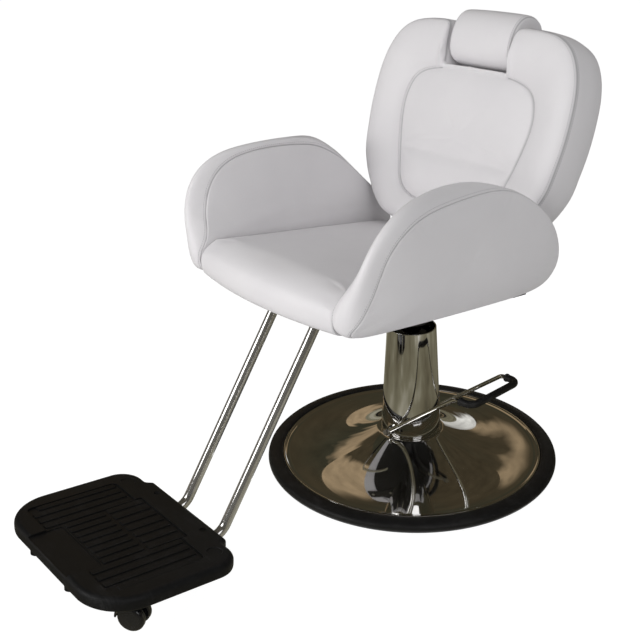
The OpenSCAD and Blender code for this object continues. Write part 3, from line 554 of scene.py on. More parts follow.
def stitches(name, lines, pitch=0.0052, length=0.0036):
    """One mesh of short threads lying along lines of (points, normals, closed)."""
    verts, faces = [], []
    for p, u, closed in lines:
        if closed:
            p = np.vstack([p, p[:1]])
            u = np.vstack([u, u[:1]])
        run = distances(p)
        for s in np.arange(pitch / 2, run[-1] - length, pitch):
            a = read_off(p, run, s)
            b = read_off(p, run, s + length)
            up = read_off(u, run, s + length / 2)
            up /= np.linalg.norm(up) + 1e-12
            d = (b - a) / (np.linalg.norm(b - a) + 1e-12)
            side = np.cross(d, up)
            side /= np.linalg.norm(side) + 1e-12
            rings = []
            for t, w, h in THREAD_SECTIONS:
                turns = np.radians(np.arange(0, 360, 60))
                rise = THREAD_LIFT * h + THREAD_WIDTH * 0.75 * w * np.sin(turns)
                across = THREAD_WIDTH * w * np.cos(turns)
                rings.append(a + (b - a) * t + np.outer(across, side) + np.outer(rise, up))
            base = len(verts)
            points, quads = ring_skin(rings, flat=True)
            verts += points
            faces += [tuple(base + i for i in quad) for quad in quads]
    return link(name, verts, faces)


# arms
# inner seam: along the seat's plane, above it, and outward from the seat's side
ARM_INNER = [
    [104, 3, 2], [140, 21, 3], [146, 54, 6], [123, 89, 13], [85, 124, 19], [50, 158, 30], [12, 194, 37],
    [-45, 224, 37], [-87, 241, 33], [-150, 247, 33], [-215, 247, 37], [-271, 239, 44], [-323, 222, 51],
    [-358, 186, 50], [-374, 154, 44], [-385, 124, 34], [-392, 100, 19], [-400, 74, 2], [-416, 52, 0],
    [-422, 30, 0], [-414, 4, 0], [-385, -6, 0], [-300, 0.4, 0], [-170, 0.4, 0], [-40, 0.4, 0],
]
# outer seam: the same three, the band's swell, and a power that moves the swell toward one seam
ARM_OUTER = [
    [82, 1.4, 60, 2, 1], [120, 26, 69, 3, 1], [132, 58, 77, 4, 1], [124, 89, 85, 3, 1],
    [105, 129, 92, 2, 1], [69, 174, 96, 0, 0.95], [14, 216, 96, 2, 0.7], [-43, 243, 92, 9, 0.6],
    [-88, 250, 87, 15, 0.4], [-139, 248, 85, 16, 0.3], [-200, 241.5, 86, 15, 0.4],
    [-273, 231.5, 89, 17, 0.65], [-321, 213, 93, 24, 1], [-355, 185, 92, 32, 1.4],
    [-373, 154.5, 88, 35, 1.7], [-380.5, 121.5, 82, 37, 1.75], [-386.5, 89.5, 75, 36, 1.65],
    [-395, 57, 66, 31, 1.4], [-404, 32, 58, 22, 1.1], [-411, 14, 46, 12, 1], [-408, 0, 34, 4, 1],
    [-380, -8, 36, 0, 1], [-300, 0.4, 56, 0, 1], [-170, 0.4, 62, 0, 1], [-40, 0.4, 60, 0, 1],
]
ARM_STEPS = 11
ARM_MID_U = -150.0
ARM_MID_V = 118.0
ARM_FACE = 79.0
NEAR_SEAM = (0.0, 0.6, 1.3, 2.4, 4.0, 6.5, 10.0)
PANEL_STEPS = 17
BAND_STEPS = 14
ROUNDING = 6


def rounded(loop, spread):
    """A closed loop of samples with its corners eased by a bell-shaped average."""
    reach = np.arange(-3 * spread, 3 * spread + 1)
    weights = np.exp(-0.5 * (reach / spread) ** 2)
    weights /= weights.sum()
    return sum(w * np.roll(loop, -int(k), 0) for w, k in zip(weights, reach))


def arm_lean(v):
    return 0.6 + 0.25 * np.maximum(0, v - 70)


def panel_scales(rim):
    """Shares from the panel's middle out to its seam, with close rings beside the seam."""
    reach = np.linalg.norm(rim[:, :2] - (ARM_MID_U, ARM_MID_V), axis=1)
    edge = [1 - d / reach for d in NEAR_SEAM]
    return [0.04 + (edge[-1] - 0.04) * t for t in np.linspace(0, 1, PANEL_STEPS)[:-1]] + edge[::-1]


def arm_band(inner, outer, out):
    """Rings across the band between the seams, evenly spaced with close ones beside each seam."""
    x = np.linspace(0, 1, 60) ** 3 / 2
    shares = np.concatenate([x, 1 - x[-2::-1]])
    curve = []
    for t in shares:
        part = (1 - np.abs(2 * t ** outer[:, 4] - 1) ** 2.4) ** 0.75
        p = inner[:, :3] + (outer[:, :3] - inner[:, :3]) * t
        b = part * outer[:, 3]
        curve.append(np.stack([p[:, 2], p[:, 0] + b * out[:, 0], p[:, 1] + b * out[:, 1]], 1))
    curve = np.array(curve)
    columns = []
    for i in range(curve.shape[1]):
        line = curve[:, i]
        run = distances(line)
        near = np.array(NEAR_SEAM)
        middle = np.linspace(near[-1], run[-1] - near[-1], BAND_STEPS)[1:-1]
        at = np.concatenate([near, middle, (run[-1] - near)[::-1]])
        columns.append(read_off(line, run, at))
    return list(np.array(columns).transpose(1, 0, 2))


def toward(rim, s):
    """The rim's u and v drawn in to a share of their distance from the panel's middle."""
    return ARM_MID_U + (rim[:, 0] - ARM_MID_U) * s, ARM_MID_V + (rim[:, 1] - ARM_MID_V) * s


def arm_rings():
    """Rings of (offset, u, v) from the inner panel's middle to the outer's, and the seams' places."""
    inner = rounded(closed_curve(ARM_INNER, ARM_STEPS), ROUNDING)
    outer = rounded(closed_curve(ARM_OUTER, ARM_STEPS), ROUNDING)
    inner[:, 2] = np.maximum(inner[:, 2], 0.3)
    calm = rounded(outer, 26)[:, 2]
    out = outward(outer, 3)
    rings = []
    for s in panel_scales(inner)[:-1]:
        u, v = toward(inner, s)
        lean = arm_lean(v)
        crown = 6.0 * np.sqrt(1 - s * s) * np.clip((v - 78) / 70, 0, 1)
        rings.append(np.stack([lean + (inner[:, 2] - lean) * s * s - crown, u, v], 1))
    first_seam = len(rings)
    rings += arm_band(inner, outer, out)
    second_seam = len(rings) - 1
    for s in panel_scales(outer)[-2::-1]:
        u, v = toward(outer, s)
        rim = calm + (outer[:, 2] - calm) * s ** 5
        off = ARM_FACE + (rim - ARM_FACE) * s ** 2.2 + 11 * np.sqrt(1 - s * s)
        rings.append(np.stack([off, u, v], 1))
    return rings, first_seam, second_seam


def groove(obj, n, seams, depth=0.0018, width=0.0017):
    """Draws seam rings into the leather and marks a dark line of painted shade at their bottom, stored as the
    seam attribute.
    """
    co, no = coords(obj), normals(obj)
    base = co.copy()
    painted_seam_shade = np.zeros(len(co))
    count = len(co) // n
    i = np.arange(n)
    for seam, weight in seams:
        for step in (-1, 1):
            run = np.zeros(n)
            k = seam
            while 0 <= k < count and run.min() < 4 * width:
                at = k * n + i
                if step > 0 or k != seam:
                    co[at] -= no[at] * (depth * np.exp(-(run / width) ** 2) * weight)[:, None]
                # painted shade: darkest at the bottom of the seam groove, fading out within about a
                # millimetre
                painted_seam_shade[at] = np.maximum(painted_seam_shade[at], np.exp(-(run / 0.0010) ** 2) * weight)
                k += step
                if 0 <= k < count:
                    run = run + np.linalg.norm(base[k * n + i] - base[(k - step) * n + i], axis=1)
    set_coords(obj, co)
    obj.data.attributes.new("seam", "FLOAT", "POINT").data.foreach_set("value", painted_seam_shade.astype(np.float32))


def beside(obj, n, seam, step, distance):
    """Points and normals of the line that runs a given distance from a seam ring."""
    co, no = coords(obj), normals(obj)
    i = np.arange(n)
    point, up = co[seam * n + i].copy(), no[seam * n + i].copy()
    left = np.full(n, distance)
    open_still = np.ones(n, bool)
    k = seam
    while open_still.any() and 0 <= k + step < len(co) // n:
        a, b = k * n + i, (k + step) * n + i
        length = np.linalg.norm(co[b] - co[a], axis=1)
        share = np.clip(left / np.maximum(length, 1e-9), 0, 1)[:, None]
        point[open_still] = (co[a] + (co[b] - co[a]) * share)[open_still]
        up[open_still] = (no[a] + (no[b] - no[a]) * share)[open_still]
        open_still &= left > length
        left = left - length
        k += step
    return point, up


def make_arm(side):
    name = "arm_left" if side > 0 else "arm_right"
    rings, s1, s2 = arm_rings()
    n = len(rings[0])
    world = [seat_world(np.stack([side * (HALF + r[:, 0]), r[:, 1], r[:, 2]], 1)) for r in rings]
    mid_in = seat_world([side * (HALF + arm_lean(ARM_MID_V) - 6 * 4 / 7), ARM_MID_U, ARM_MID_V])
    mid_out = seat_world([side * (HALF + ARM_FACE + 11), ARM_MID_U, ARM_MID_V])
    arm = skin("leather_" + name, world, ends=(mid_in, mid_out))
    v_all = every(rings, 2, ARM_MID_V, ARM_MID_V)
    off_all = every(rings, 0, 10.0, 90.0)
    pin = held(arm, n, (s1, s2))
    pin[v_all < 5] = 1
    pin[(off_all < 14) & (v_all < 84)] = 1
    puff(arm, pin, pressure=2.2, cap=0.004)
    groove(arm, n, [(s1, 1), (s2, 1)])
    dress(arm, "seat", LEATHER, (name,))
    seams = [(s1, 1, rings[s1][:, 2] > 4), (s2, -1, rings[s2][:, 2] > 4)]
    sew(arm, n, "stitching_" + name, "seat", SEW_WIDE, seams)


def sew(obj, n, name, body, distance, seams, **size):
    """Rows of thread beside seams; each seam gives its ring, the side and where thread shows."""
    lines = []
    for seam, step, good in seams:
        points, ups = beside(obj, n, seam, step, distance)
        lines += runs(points, ups, good)
    dress(stitches(name, lines, **size), body, THREAD)


def runs(points, ups, good):
    """The stretches of a closed line where good is true."""
    n = len(points)
    if good.all():
        return [(points, ups, True)]
    start = int(np.where(~good)[0][0])
    out, cur = [], []
    for k in range(n + 1):
        i = (start + k) % n
        if good[i] and k < n:
            cur.append(i)
        elif cur:
            if len(cur) > 2:
                out.append((points[cur], ups[cur], False))
            cur = []
    return out


make_arm(1)
make_arm(-1)

# seat cushion
# side outline, along and above the seat's plane, from the rear over the top to the front
SEAT_KEYS = [
    [108, 12.8], [124, 21], [120, 33], [96, 38.5], [20, 45], [-93, 53], [-250, 61.6], [-350, 67.3],
    [-392, 69], [-420, 64], [-440, 50], [-449, 32], [-448, 12], [-440, -3], [-424, -10], [-402, -9],
]
SEAT_GAP = 0.315
SEAT_SIDE_MIDDLE = (-150.0, 35.0)
# share of the half width, from the side's seam to the middle
SEAT_PLACES = [
    1, 0.997, 0.993, 0.987, 0.98, 0.97, 0.955, 0.93, 0.9, 0.86, 0.81,
    0.75, 0.68, 0.6, 0.52, 0.43, 0.34, 0.25, 0.16, 0.08, 0,
]


def make_seat():
    last = len(SEAT_KEYS) - 1
    dense = np.array(between(np.array(SEAT_KEYS, float), np.linspace(0, last, last * 10 + 1)))
    under = [[-388, -6], [-388, 12.3]] + [[u, 12.3] for u in (-300, -200, -100, 0, 80)]
    ring = np.vstack([under, dense])
    n = len(ring)
    half = HALF - SEAT_GAP
    places = [-p for p in SEAT_PLACES] + SEAT_PLACES[-2::-1]
    rings = []
    for s in places:
        a = abs(s)
        swell = SEAT_CROWN * max(0, 1 - a * a) ** 0.6
        draw = 2.2 * max(0, (a - 0.975) / 0.025) ** 2
        top = np.clip((ring[:, 1] - 16) / 30, 0, 1)
        front = np.clip((-365 - ring[:, 0]) / 66, 0, 1)
        front = front * front * (3 - 2 * front)
        u = ring[:, 0] + front * (28 * a * a + draw)
        v = ring[:, 1] + top * (swell * (1 - 0.45 * front) - draw)
        rings.append(np.stack([np.full(n, s * half), u, v], 1))

    def side_rings(r):
        centre = np.array([r[0, 0], *SEAT_SIDE_MIDDLE])
        return [centre + (r - centre) * s for s in (0.35, 0.7, 0.93)]

    all_rings = side_rings(rings[0]) + rings + side_rings(rings[-1])[::-1]
    caps = [seat_world([x, *SEAT_SIDE_MIDDLE]) for x in (-half, half)]
    seat = skin("leather_seat_cushion", [seat_world(r) for r in all_rings], ends=caps)
    first_seam = 3
    last_seam = first_seam + len(rings) - 1
    allv = np.tile(ring[:, 1], len(all_rings))
    allu = np.tile(ring[:, 0], len(all_rings))
    pin = held(seat, n, range(first_seam + 1))
    pin[: len(allv)][(allv < 14) & (allu > -390)] = 1
    pin[last_seam * n:] = 1
    pin[: len(allv)][allu > 96] = 1
    puff(seat, pin, pressure=2.0, cap=0.0025)
    co = coords(seat)
    co[:, 0] = np.clip(co[:, 0], -half / 1000, half / 1000)
    set_coords(seat, co)
    groove(seat, n, [(first_seam, 1), (last_seam, 1)], depth=0.0008, width=0.0012)
    good = (ring[:, 1] > 18) & (ring[:, 0] > -300)
    dress(seat, "seat", LEATHER, ("seat_cushion",))
    sew(seat, n, "stitching_seat", "seat", SEW_WIDE, [(first_seam, 1, good), (last_seam, -1, good)])


make_seat()

# backrest
# one half: across and up for the rim, then for the middle panel's seam, from the bottom to the slot
BACK_KEYS = [
    [0, -155, 0, -98], [62, -155, 52, -97], [122, -154, 98, -92], [172, -143, 130, -78],
    [209, -117, 148, -56], [235, -86, 158, -30], [258, -53, 168, 2], [277, -10, 178, 38],
    [285, 40, 186, 74], [290, 92, 190, 104], [290, 145, 190, 130], [285, 198, 185, 153],
    [271, 244, 177, 171], [246, 281, 166, 184], [210, 303, 153, 192], [168, 311, 141, 197],
    [132, 313, 130, 200], [SLOT + 13, 312, 122, 202], [SLOT + 5, 304, 118, 203],
    [SLOT + 2, 284, 114, 204], [SLOT, 250, 109, 204.6], [SLOT - 2, 228, 103, 205],
    [SLOT - 7, SLOT_FLOOR + 4, 96, 205.4], [SLOT - 18, SLOT_FLOOR, 81, 205.6], [45, SLOT_FLOOR, 45, 206],
]
PANEL_MIDDLE = 60.0


def lumbar(h):
    """Forward swell of the middle panel's lower part, with the crease above it."""
    crease = -5.0 * np.exp(-((h - 16) / 14.0) ** 2)
    bulge = 9.0 * np.clip((14 - h) / 60.0, 0, 1) ** 0.7
    return crease + bulge


def make_back():
    mirrored = [[-a, b, -c, d] for a, b, c, d in BACK_KEYS[:0:-1]]
    keys = BACK_KEYS + [[0, SLOT_FLOOR, 0, 206]] + mirrored
    loop = closed_curve(keys, 7)
    out = outward(loop, 2)
    p, q = loop[:, :2], loop[:, 2:]
    ax, hh = np.abs(p[:, 0]), p[:, 1]
    wide = np.where(ax > SLOT + 16, WIDE, 1.0)
    near = np.minimum(1, np.linalg.norm(q - p, axis=1) / 60)
    lip = np.clip((hh - SLOT_FLOOR - 4) / 15, 0, 1) * np.clip((SLOT + 14 - ax) / 10, 0, 1)
    floor_share = np.clip((SLOT - 8 - ax) / 12, 0, 1) * (hh > SLOT_FLOOR - 8)

    def shaped(x, h, w):
        """Horn walls swelled towards the pad near the front, and the slot's floor with a lip."""
        full = lip * np.interp(w, (-30, -4, 12), (0, 3.2, 4.6))
        lift = floor_share * np.interp(w, (-85, -60, -35, -12, 0), (0, -3, -4, 2, 3))
        return np.stack([x - np.sign(p[:, 0]) * full, h + lift], 1)

    def rear(inset, w):
        flat = shaped((p[:, 0] - inset * out[:, 0]) * wide, p[:, 1] - inset * out[:, 1], w)
        return np.column_stack([flat, np.full(len(p), float(w))])

    def front(draw, w):
        s = p + (q - p) * draw
        wd = np.where(np.abs(s[:, 0]) > SLOT + 16, WIDE, 1.0)
        return np.column_stack([shaped(s[:, 0] * wd, s[:, 1], 10 - 12 * draw), 2 + (w - 2) * near])

    def panel(scale, w):
        x = q[:, 0] * scale
        h = PANEL_MIDDLE + (q[:, 1] - PANEL_MIDDLE) * scale
        grow = np.full(len(q), float(w))
        if w > 0:
            grow = grow + lumbar(h) * min(1, (1 - scale) / 0.12)
        return np.stack([x, h, grow], 1)

    rings = [panel(s, -BACK_T) for s in (0.1, 0.3, 0.5, 0.7, 0.9)]
    rings += [rear(10, -BACK_T)]
    rear_seam = len(rings)
    rings += [rear(3.5, -BACK_T + 2)]
    side = [
        rear(3.5, -BACK_T + 2), rear(0.5, -BACK_T + 9), rear(-3.2, -BACK_T * 0.62),
        rear(-4, -BACK_T * 0.42), rear(-2.6, -14), front(0, 10),
    ]
    rings += between(side, np.linspace(0, 5, 17)[1:-1])
    front_seam = len(rings)
    rings += [front(0, 10)]
    roll = [front(0, 10), front(0.12, 19), front(0.4, 23), front(0.8, 14), front(1, 2)]
    rings += between(roll, [0.12] + [0.3 + 0.2 * k for k in range(18)] + [3.85, 3.94])
    panel_seam = len(rings)
    rings += [front(1, 2)]
    for s in [0.985, 0.965, 0.935, 0.9, 0.85, 0.8, 0.74, 0.68] + [0.61 - 0.07 * k for k in range(8)] + [0.06]:
        rings.append(panel(s, 2 + 8 * math.sqrt(1 - s ** 3)))
    n = len(loop)
    world = [back_world(r) for r in rings]
    rear_middle = back_world([0, PANEL_MIDDLE, -BACK_T])
    front_middle = back_world([0, PANEL_MIDDLE, 10 + lumbar(PANEL_MIDDLE)])
    back = skin("leather_backrest", world, ends=(rear_middle, front_middle))
    pin = held(back, n, [*range(rear_seam + 1), front_seam, panel_seam])
    x_all = every(rings, 0, 0, 0)
    h_all = every(rings, 1, PANEL_MIDDLE, PANEL_MIDDLE)
    pin[(np.abs(x_all) < SLOT + 14) & (h_all > SLOT_FLOOR - 5)] = 1
    pin[h_all < -100] = np.maximum(pin[h_all < -100], 0.5)
    puff(back, pin, pressure=2.2, cap=0.003)
    outside = np.where((ax < SLOT - 5) & (hh > SLOT_FLOOR - 8), 0.0, 1.0)
    groove(back, n, [(rear_seam, 1), (front_seam, outside), (panel_seam, outside)])
    dress(back, "back", LEATHER, ("backrest_cushion",))
    good = ~((ax < SLOT + 4) & (hh > SLOT_FLOOR - 8))
    seams = [(front_seam, -1, good), (front_seam, 1, good), (panel_seam, -1, good)]
    sew(back, n, "stitching_backrest", "back", SEW_CLOSE, seams)


make_back()

# headrest pad
# outline of the pad's section: up the backrest, and forward from the pad's rear face
HEAD_KEYS = [
    [236, 0], [262, 0], [300, 0], [324, 1], [340, 12], [347, 36], [343, 62], [328, 81], [304, 92],
    [272, 94], [246, 87], [229, 70], [222, 44], [223, 17],
]
# sections by depth in from the pad's end, with their size
HEAD_SECTIONS = [
    (0, 0.82), (0.6, 0.875), (1.6, 0.908), (3.0, 0.934), (4.8, 0.953), (7.2, 0.968), (10, 0.978),
    (14, 0.985), (20, 0.991), (28, 0.996), (38, 1.0), (50, 1.003), (63, 1.006), (77, 1.009),
]


def make_headrest():
    ring = closed_curve(HEAD_KEYS, 10)
    m = len(ring)
    e = HEAD_HALF

    def section(x, s):
        return np.stack([np.full(m, x), HEAD_H + (ring[:, 0] - HEAD_H) * s, HEAD_REAR + ring[:, 1] * s], 1)

    half = [(e * 0.93, 0.1), (e * 0.955, 0.25), (e * 0.975, 0.42), (e * 0.99, 0.58), (e * 0.999, 0.72)]
    half += [(e - x, size) for x, size in HEAD_SECTIONS]
    seam = 8
    rings = [section(-x, s) for x, s in half] + [section(0, 1.01)]
    rings += [section(x, s) for x, s in reversed(half)]
    world = [back_world(r) for r in rings]
    ends = [back_world([x, HEAD_H, HEAD_REAR + 4.0]) for x in (-e * 0.925, e * 0.925)]
    pad = skin("leather_headrest", world, ends=ends)
    last = len(rings) - 1 - seam
    pin = held(pad, m, (seam, last))
    pin[every(rings, 2, HEAD_REAR + 4, HEAD_REAR + 4) < HEAD_REAR + 3] = 1
    puff(pad, pin, pressure=2.0, cap=0.003)
    groove(pad, m, [(seam, 1), (last, 1)], depth=0.0014, width=0.0014)
    dress(pad, "headrest", LEATHER, ("headrest_pad",))
    good = ring[:, 1] > 4
    seams = [(seam, 1, good), (last, -1, good)]
    sew(pad, m, "stitching_headrest", "headrest", SEW_CLOSE, seams, pitch=0.0046, length=0.0032)


make_headrest()


# turned and swept parts
def lathe(name, profile, sides=192):
    """Closed ring turned about Z from (radius, height) points in millimetres."""
    r, z = np.array(profile, float).T / 1000
    turns = [2 * math.pi * k / sides for k in range(sides)]
    rings = [np.stack([r * math.cos(a), r * math.sin(a), z], 1) for a in turns]
    return skin(name, rings, loop=True)


def arc(cx, cy, r, start, end, n):
    turns = np.radians(np.linspace(start, end, n + 1))
    return [(cx + r * math.cos(a), cy + r * math.sin(a)) for a in turns]


DISC_RIM_R = 298.0
DISC_RUN = 220.0
DISC_RIM_Z = 18.5
DISC_TOP_Z = 76.0
SHELL_T = 2.5


def disc_z(r):
    """Height of the disc's flared top at a radius."""
    return DISC_RIM_Z + (DISC_TOP_Z - DISC_RIM_Z) * (max(0, DISC_RIM_R - r) / DISC_RUN) ** 2.1


DISC_RADII = [DISC_RIM_R - i * DISC_RUN / 44 for i in range(45)]
disc_profile = [(308.5, 3), (311, 3)] + arc(307.5, 19, 3.5, 0, 140, 10)
disc_profile += [(r, disc_z(r)) for r in DISC_RADII]
disc_profile += [(66, DISC_TOP_Z), (66, DISC_TOP_Z - SHELL_T)]
disc_profile += [(r - 0.8, disc_z(r) - SHELL_T) for r in reversed(DISC_RADII)] + [(308.5, 16)]
dress(lathe("disc_skin", disc_profile, 256), "base", DISC, ("base_shell",))

ring_profile = [(307.2, 0.0), (330, 0.0)] + arc(336, 11, 11, -90, 78, 18)
ring_profile += [(334.5, 22.6), (331.5, 23.4), (326, 24.4), (320, 24.6), (315, 24.2), (312.6, 23.2)]
ring_profile += [(311.4, 21.6), (311.3, 18), (311.3, 2.7), (307.2, 2.7)]
dress(lathe("ring_rubber", ring_profile, 256), "base", RUBBER, ("rubber_ring",))

cover_profile = [(69.4, 76.0), (70.6, 76.0), (71.3, 76.4), (71.4, 77.2)]
cover_profile += [(71.4 - 13.9 * t, 77.2 + 262.4 * t) for t in np.linspace(0.02, 0.995, 30)]
cover_profile += arc(56.1, 339.6, 1.4, 0, 180, 12) + [(54.7, 337), (55.2, 325)]
cover_profile += [(55.3 + 14.1 * t, 325 - 249 * t) for t in np.linspace(0.02, 0.98, 20)]
cover = lathe("cover_skin", cover_profile)
shaft_line = Matrix.Translation((0, 0, LEVER_Z / 1000)) @ Matrix.Rotation(LEVER_TURN, 4, "Z")
SHAFT_HOLE_R = 0.0095
shaft_hole = bmesh.new()
add_cone(shaft_hole, SHAFT_HOLE_R, SHAFT_HOLE_R, 0.2, shaft_line @ LYING)


def carve(obj, tool):
    mod = obj.modifiers.new("cut", "BOOLEAN")
    mod.operation = "DIFFERENCE"
    mod.solver = "EXACT"
    mod.object = tool
    apply_modifiers(obj)
    bpy.data.objects.remove(tool)


carve(cover, from_bmesh(shaft_hole, "cut"))
dress(cover, "base", CHROME, ("column_cover",))


def swept(path, radius, sides):
    """Rings in metres of a round tube along a path of points, in millimetres as the radius is."""
    p = np.asarray(path, float)
    tan = np.gradient(p, axis=0)
    tan /= np.linalg.norm(tan, axis=1)[:, None]
    side = np.cross(tan[0], [0, 0, 1.0] if abs(tan[0][2]) < 0.9 else [1.0, 0, 0])
    side /= np.linalg.norm(side)
    a = np.linspace(0, 2 * math.pi, sides, endpoint=False)
    radii = np.broadcast_to(radius, len(p))
    rings = []
    for k in range(len(p)):
        side = side - tan[k] * (side @ tan[k])
        side /= np.linalg.norm(side)
        up = np.cross(tan[k], side)
        rings.append((p[k] + radii[k] * (np.outer(np.cos(a), side) + np.outer(np.sin(a), up))) / 1000)
    return rings


def bent(route, bend, step=4.0):
    """Points along a route with rounded corners; bend is the corner radius."""
    r = [np.asarray(v, float) for v in route]
    out = [r[0]]
    for k in range(1, len(r) - 1):
        a, b, c = r[k - 1], r[k], r[k + 1]
        d0 = (b - a) / np.linalg.norm(b - a)
        d1 = (c - b) / np.linalg.norm(c - b)
        turn = math.acos(np.clip(d0 @ d1, -1, 1))
        trim = bend * math.tan(turn / 2)
        s, e = b - d0 * trim, b + d1 * trim
        mid = (s + e) / 2
        away = (mid - b) / np.linalg.norm(mid - b)
        centre = b + away * math.sqrt(trim ** 2 + bend ** 2)
        count = max(6, int(bend * turn / step))
        v0 = s - centre
        axis = np.cross(d0, d1)
        axis /= np.linalg.norm(axis)
        for i in range(count + 1):
            ang = turn * i / count
            v = v0 * math.cos(ang) + np.cross(axis, v0) * math.sin(ang)
            out.append(centre + v)
    out.append(r[-1])
    dense = [out[0]]
    for a, b in zip(out[:-1], out[1:]):
        length = np.linalg.norm(b - a)
        parts = max(1, int(length / 12)) if length > 1e-6 else 0
        dense += [a + (b - a) * i / parts for i in range(1, parts + 1)]
    return np.array(dense)


# footrest tubes
TUBE_X = 69.5
TUBE_R = 11.0
TUBE_V = -25.0
TUBE_SIDES = 48
PLATE_Y = -650.0
PLATE_Z = 115.7
PLATE_TILT = math.radians(5.4)


def seat_yz(u, v):
    return tilted(u, v, 0.0, SEAT_Z, SEAT_TILT)


def plate_yz(u, v):
    return tilted(u, v, PLATE_Y, PLATE_Z, PLATE_TILT)


def meet(p, a, q, b):
    """Where the line through p at angle a meets the one through q at angle b."""
    t = ((q[0] - p[0]) * math.sin(b) - (q[1] - p[1]) * math.cos(b)) / math.sin(b - a)
    return np.array([p[0] + t * math.cos(a), p[1] + t * math.sin(a)])


SLOPE_POINT = np.array([-583.9, 93.7])
SLOPE = math.radians(56)
BELOW = PLATE_T + CROSS_PLATE_T + TUBE_R
tube_route = [
    seat_yz(-135, TUBE_V),
    meet(seat_yz(0, TUBE_V), -SEAT_TILT, SLOPE_POINT, SLOPE),
    meet(plate_yz(0, -BELOW), -PLATE_TILT, SLOPE_POINT, SLOPE),
    plate_yz(-210, -BELOW),
]
for s, name in ((1, "footrest_tube_left"), (-1, "footrest_tube_right")):
    path = bent([(s * TUBE_X, y, z) for y, z in tube_route], 45)
    bore = swept(path, TUBE_R - 2, TUBE_SIDES)
    tube = skin("skin_" + name, swept(path, TUBE_R, TUBE_SIDES) + bore[::-1], loop=True)
    soften(tube, 40)
    dress(tube, "footrest", TUBE, (name,))

# pump lever
RISE = math.radians(38)
LEVER_LEN = 256.0
SIDE = 81.0
LEVER_R = 5.0
SLEEVE_R = 8.2
KNEE_R = 24
PEDAL_LEN = 46
reach = LEVER_LEN * math.cos(RISE)
pedal_start = reach + KNEE_R * math.tan(RISE / 2) + 0.5
pedal_end = reach + PEDAL_LEN
pedal_z = LEVER_LEN * math.sin(RISE)


def lever_world(p):
    x = p[:, 0] * math.cos(LEVER_TURN) - p[:, 1] * math.sin(LEVER_TURN)
    y = p[:, 0] * math.sin(LEVER_TURN) + p[:, 1] * math.cos(LEVER_TURN)
    return np.stack([x, y, p[:, 2] + LEVER_Z], 1)


def pedal_loop(start, step):
    """Route round the pedal, starting and ending at the same distance from the shaft."""
    corners = [(start, -SIDE), (pedal_end, -SIDE), (pedal_end, SIDE), (start, SIDE)]
    return bent([(x, y, pedal_z) for x, y in corners], 20, step)


half_route = bent([(0, -SIDE, 0), (reach, -SIDE, pedal_z), (pedal_start + 6, -SIDE, pedal_z)], KNEE_R, 2.0)
other = half_route[::-1] * np.array([1, -1, 1])
lever_path = np.vstack([half_route[:-1], pedal_loop(pedal_start + 2, 2.0)[2:-2], other[1:]])
lever = skin("skin_lever_rod", swept(lever_world(lever_path), LEVER_R, 32), flat=True)
dress(lever, "lever", CHROME, ("lever_rod",))
for s, name in ((-1, "lever_eye_left"), (1, "lever_eye_right")):
    eye = lathe(name, [(3.05, -6), (8.2, -6), (9, -5.2), (9, 5.2), (8.2, 6), (3.05, 6)], 48)
    eye.data.transform(shaft_line @ Matrix.Translation((0, s * SIDE / 1000, 0)) @ LYING)
    eye.data.set_sharp_from_angle(angle=math.radians(35))
    dress(eye, "lever", CHROME)
sleeve_path = pedal_loop(pedal_start + 1.5, 1.5)
run = distances(sleeve_path)
fine = np.linspace(0, run[-1], 150)
sleeve_path = read_off(sleeve_path, run, fine)
from_end = np.minimum(fine, run[-1] - fine)
bead = 1.5 * np.exp(-((from_end - 5) / 3.2) ** 2)
edge = np.where(from_end < 1.2, -1.6 * (1 - from_end / 1.2), 0)
sleeve_radii = SLEEVE_R + bead + edge + 0.12 * np.sin(fine * 2.1)
sleeve = skin("skin_pedal_sleeve", swept(lever_world(sleeve_path), sleeve_radii, 40), flat=True)
dress(sleeve, "lever", RUBBER, ("pedal_sleeve",))


# footplate
PLATE_W = 438.0
PLATE_D = 296.0
RIM = 12.0
RIM_BACK = 7.0


def plate_world(p):
    return to_metres(p, PLATE_Y, PLATE_Z, PLATE_TILT)


def plate_outline(count=360):
    """Greatest outline of the plate, anticlockwise from above, evenly spaced."""
    w, f, b = PLATE_W / 2, PLATE_D, RIM_BACK
    pts = arc(-w + 97, -f + 97, 97, 180, 270, 24) + arc(w - 97, -f + 97, 97, 270, 360, 24)
    pts += arc(w - 50, b - 50, 50, 0, 90, 14)
    tab = [(152, b), (149.5, b + 0.6), (147.5, b + 2.4), (140, b + 11.5), (138, b + 13.4), (135.5, b + 14)]
    pts += tab + [(-x, y) for x, y in reversed(tab)]
    pts += arc(-w + 50, b - 50, 50, 90, 180, 14)
    p = np.array(pts)
    q = np.vstack([p, p[:1]])
    run = distances(q)
    return read_off(q, run, np.linspace(0, run[-1], count, endpoint=False))


def block(x0, x1, u0, u1, v0, v1, round_edge, corner):
    """Box with rounded uprights and, if asked, rounded rims."""
    bm = bmesh.new()
    add_box(bm, ((x0 + x1) / 2, (u0 + u1) / 2, (v0 + v1) / 2), (x1 - x0, u1 - u0, v1 - v0))
    up = [e for e in bm.edges if abs(e.verts[0].co.z - e.verts[1].co.z) > 1e-6]
    bmesh.ops.bevel(bm, geom=up, offset=corner, segments=5, profile=0.5, affect="EDGES")
    if round_edge > 0:
        level = [e for e in bm.edges if abs(e.verts[0].co.z - e.verts[1].co.z) < 1e-6]
        rim = [e for e in level if e.calc_face_angle(0) > 0.8]
        bmesh.ops.bevel(bm, geom=rim, offset=round_edge, segments=3, profile=0.5, affect="EDGES")
    return bm


def plate_piece(bm, name):
    obj = from_bmesh(bm, name)
    set_coords(obj, plate_world(coords(obj)))
    return obj


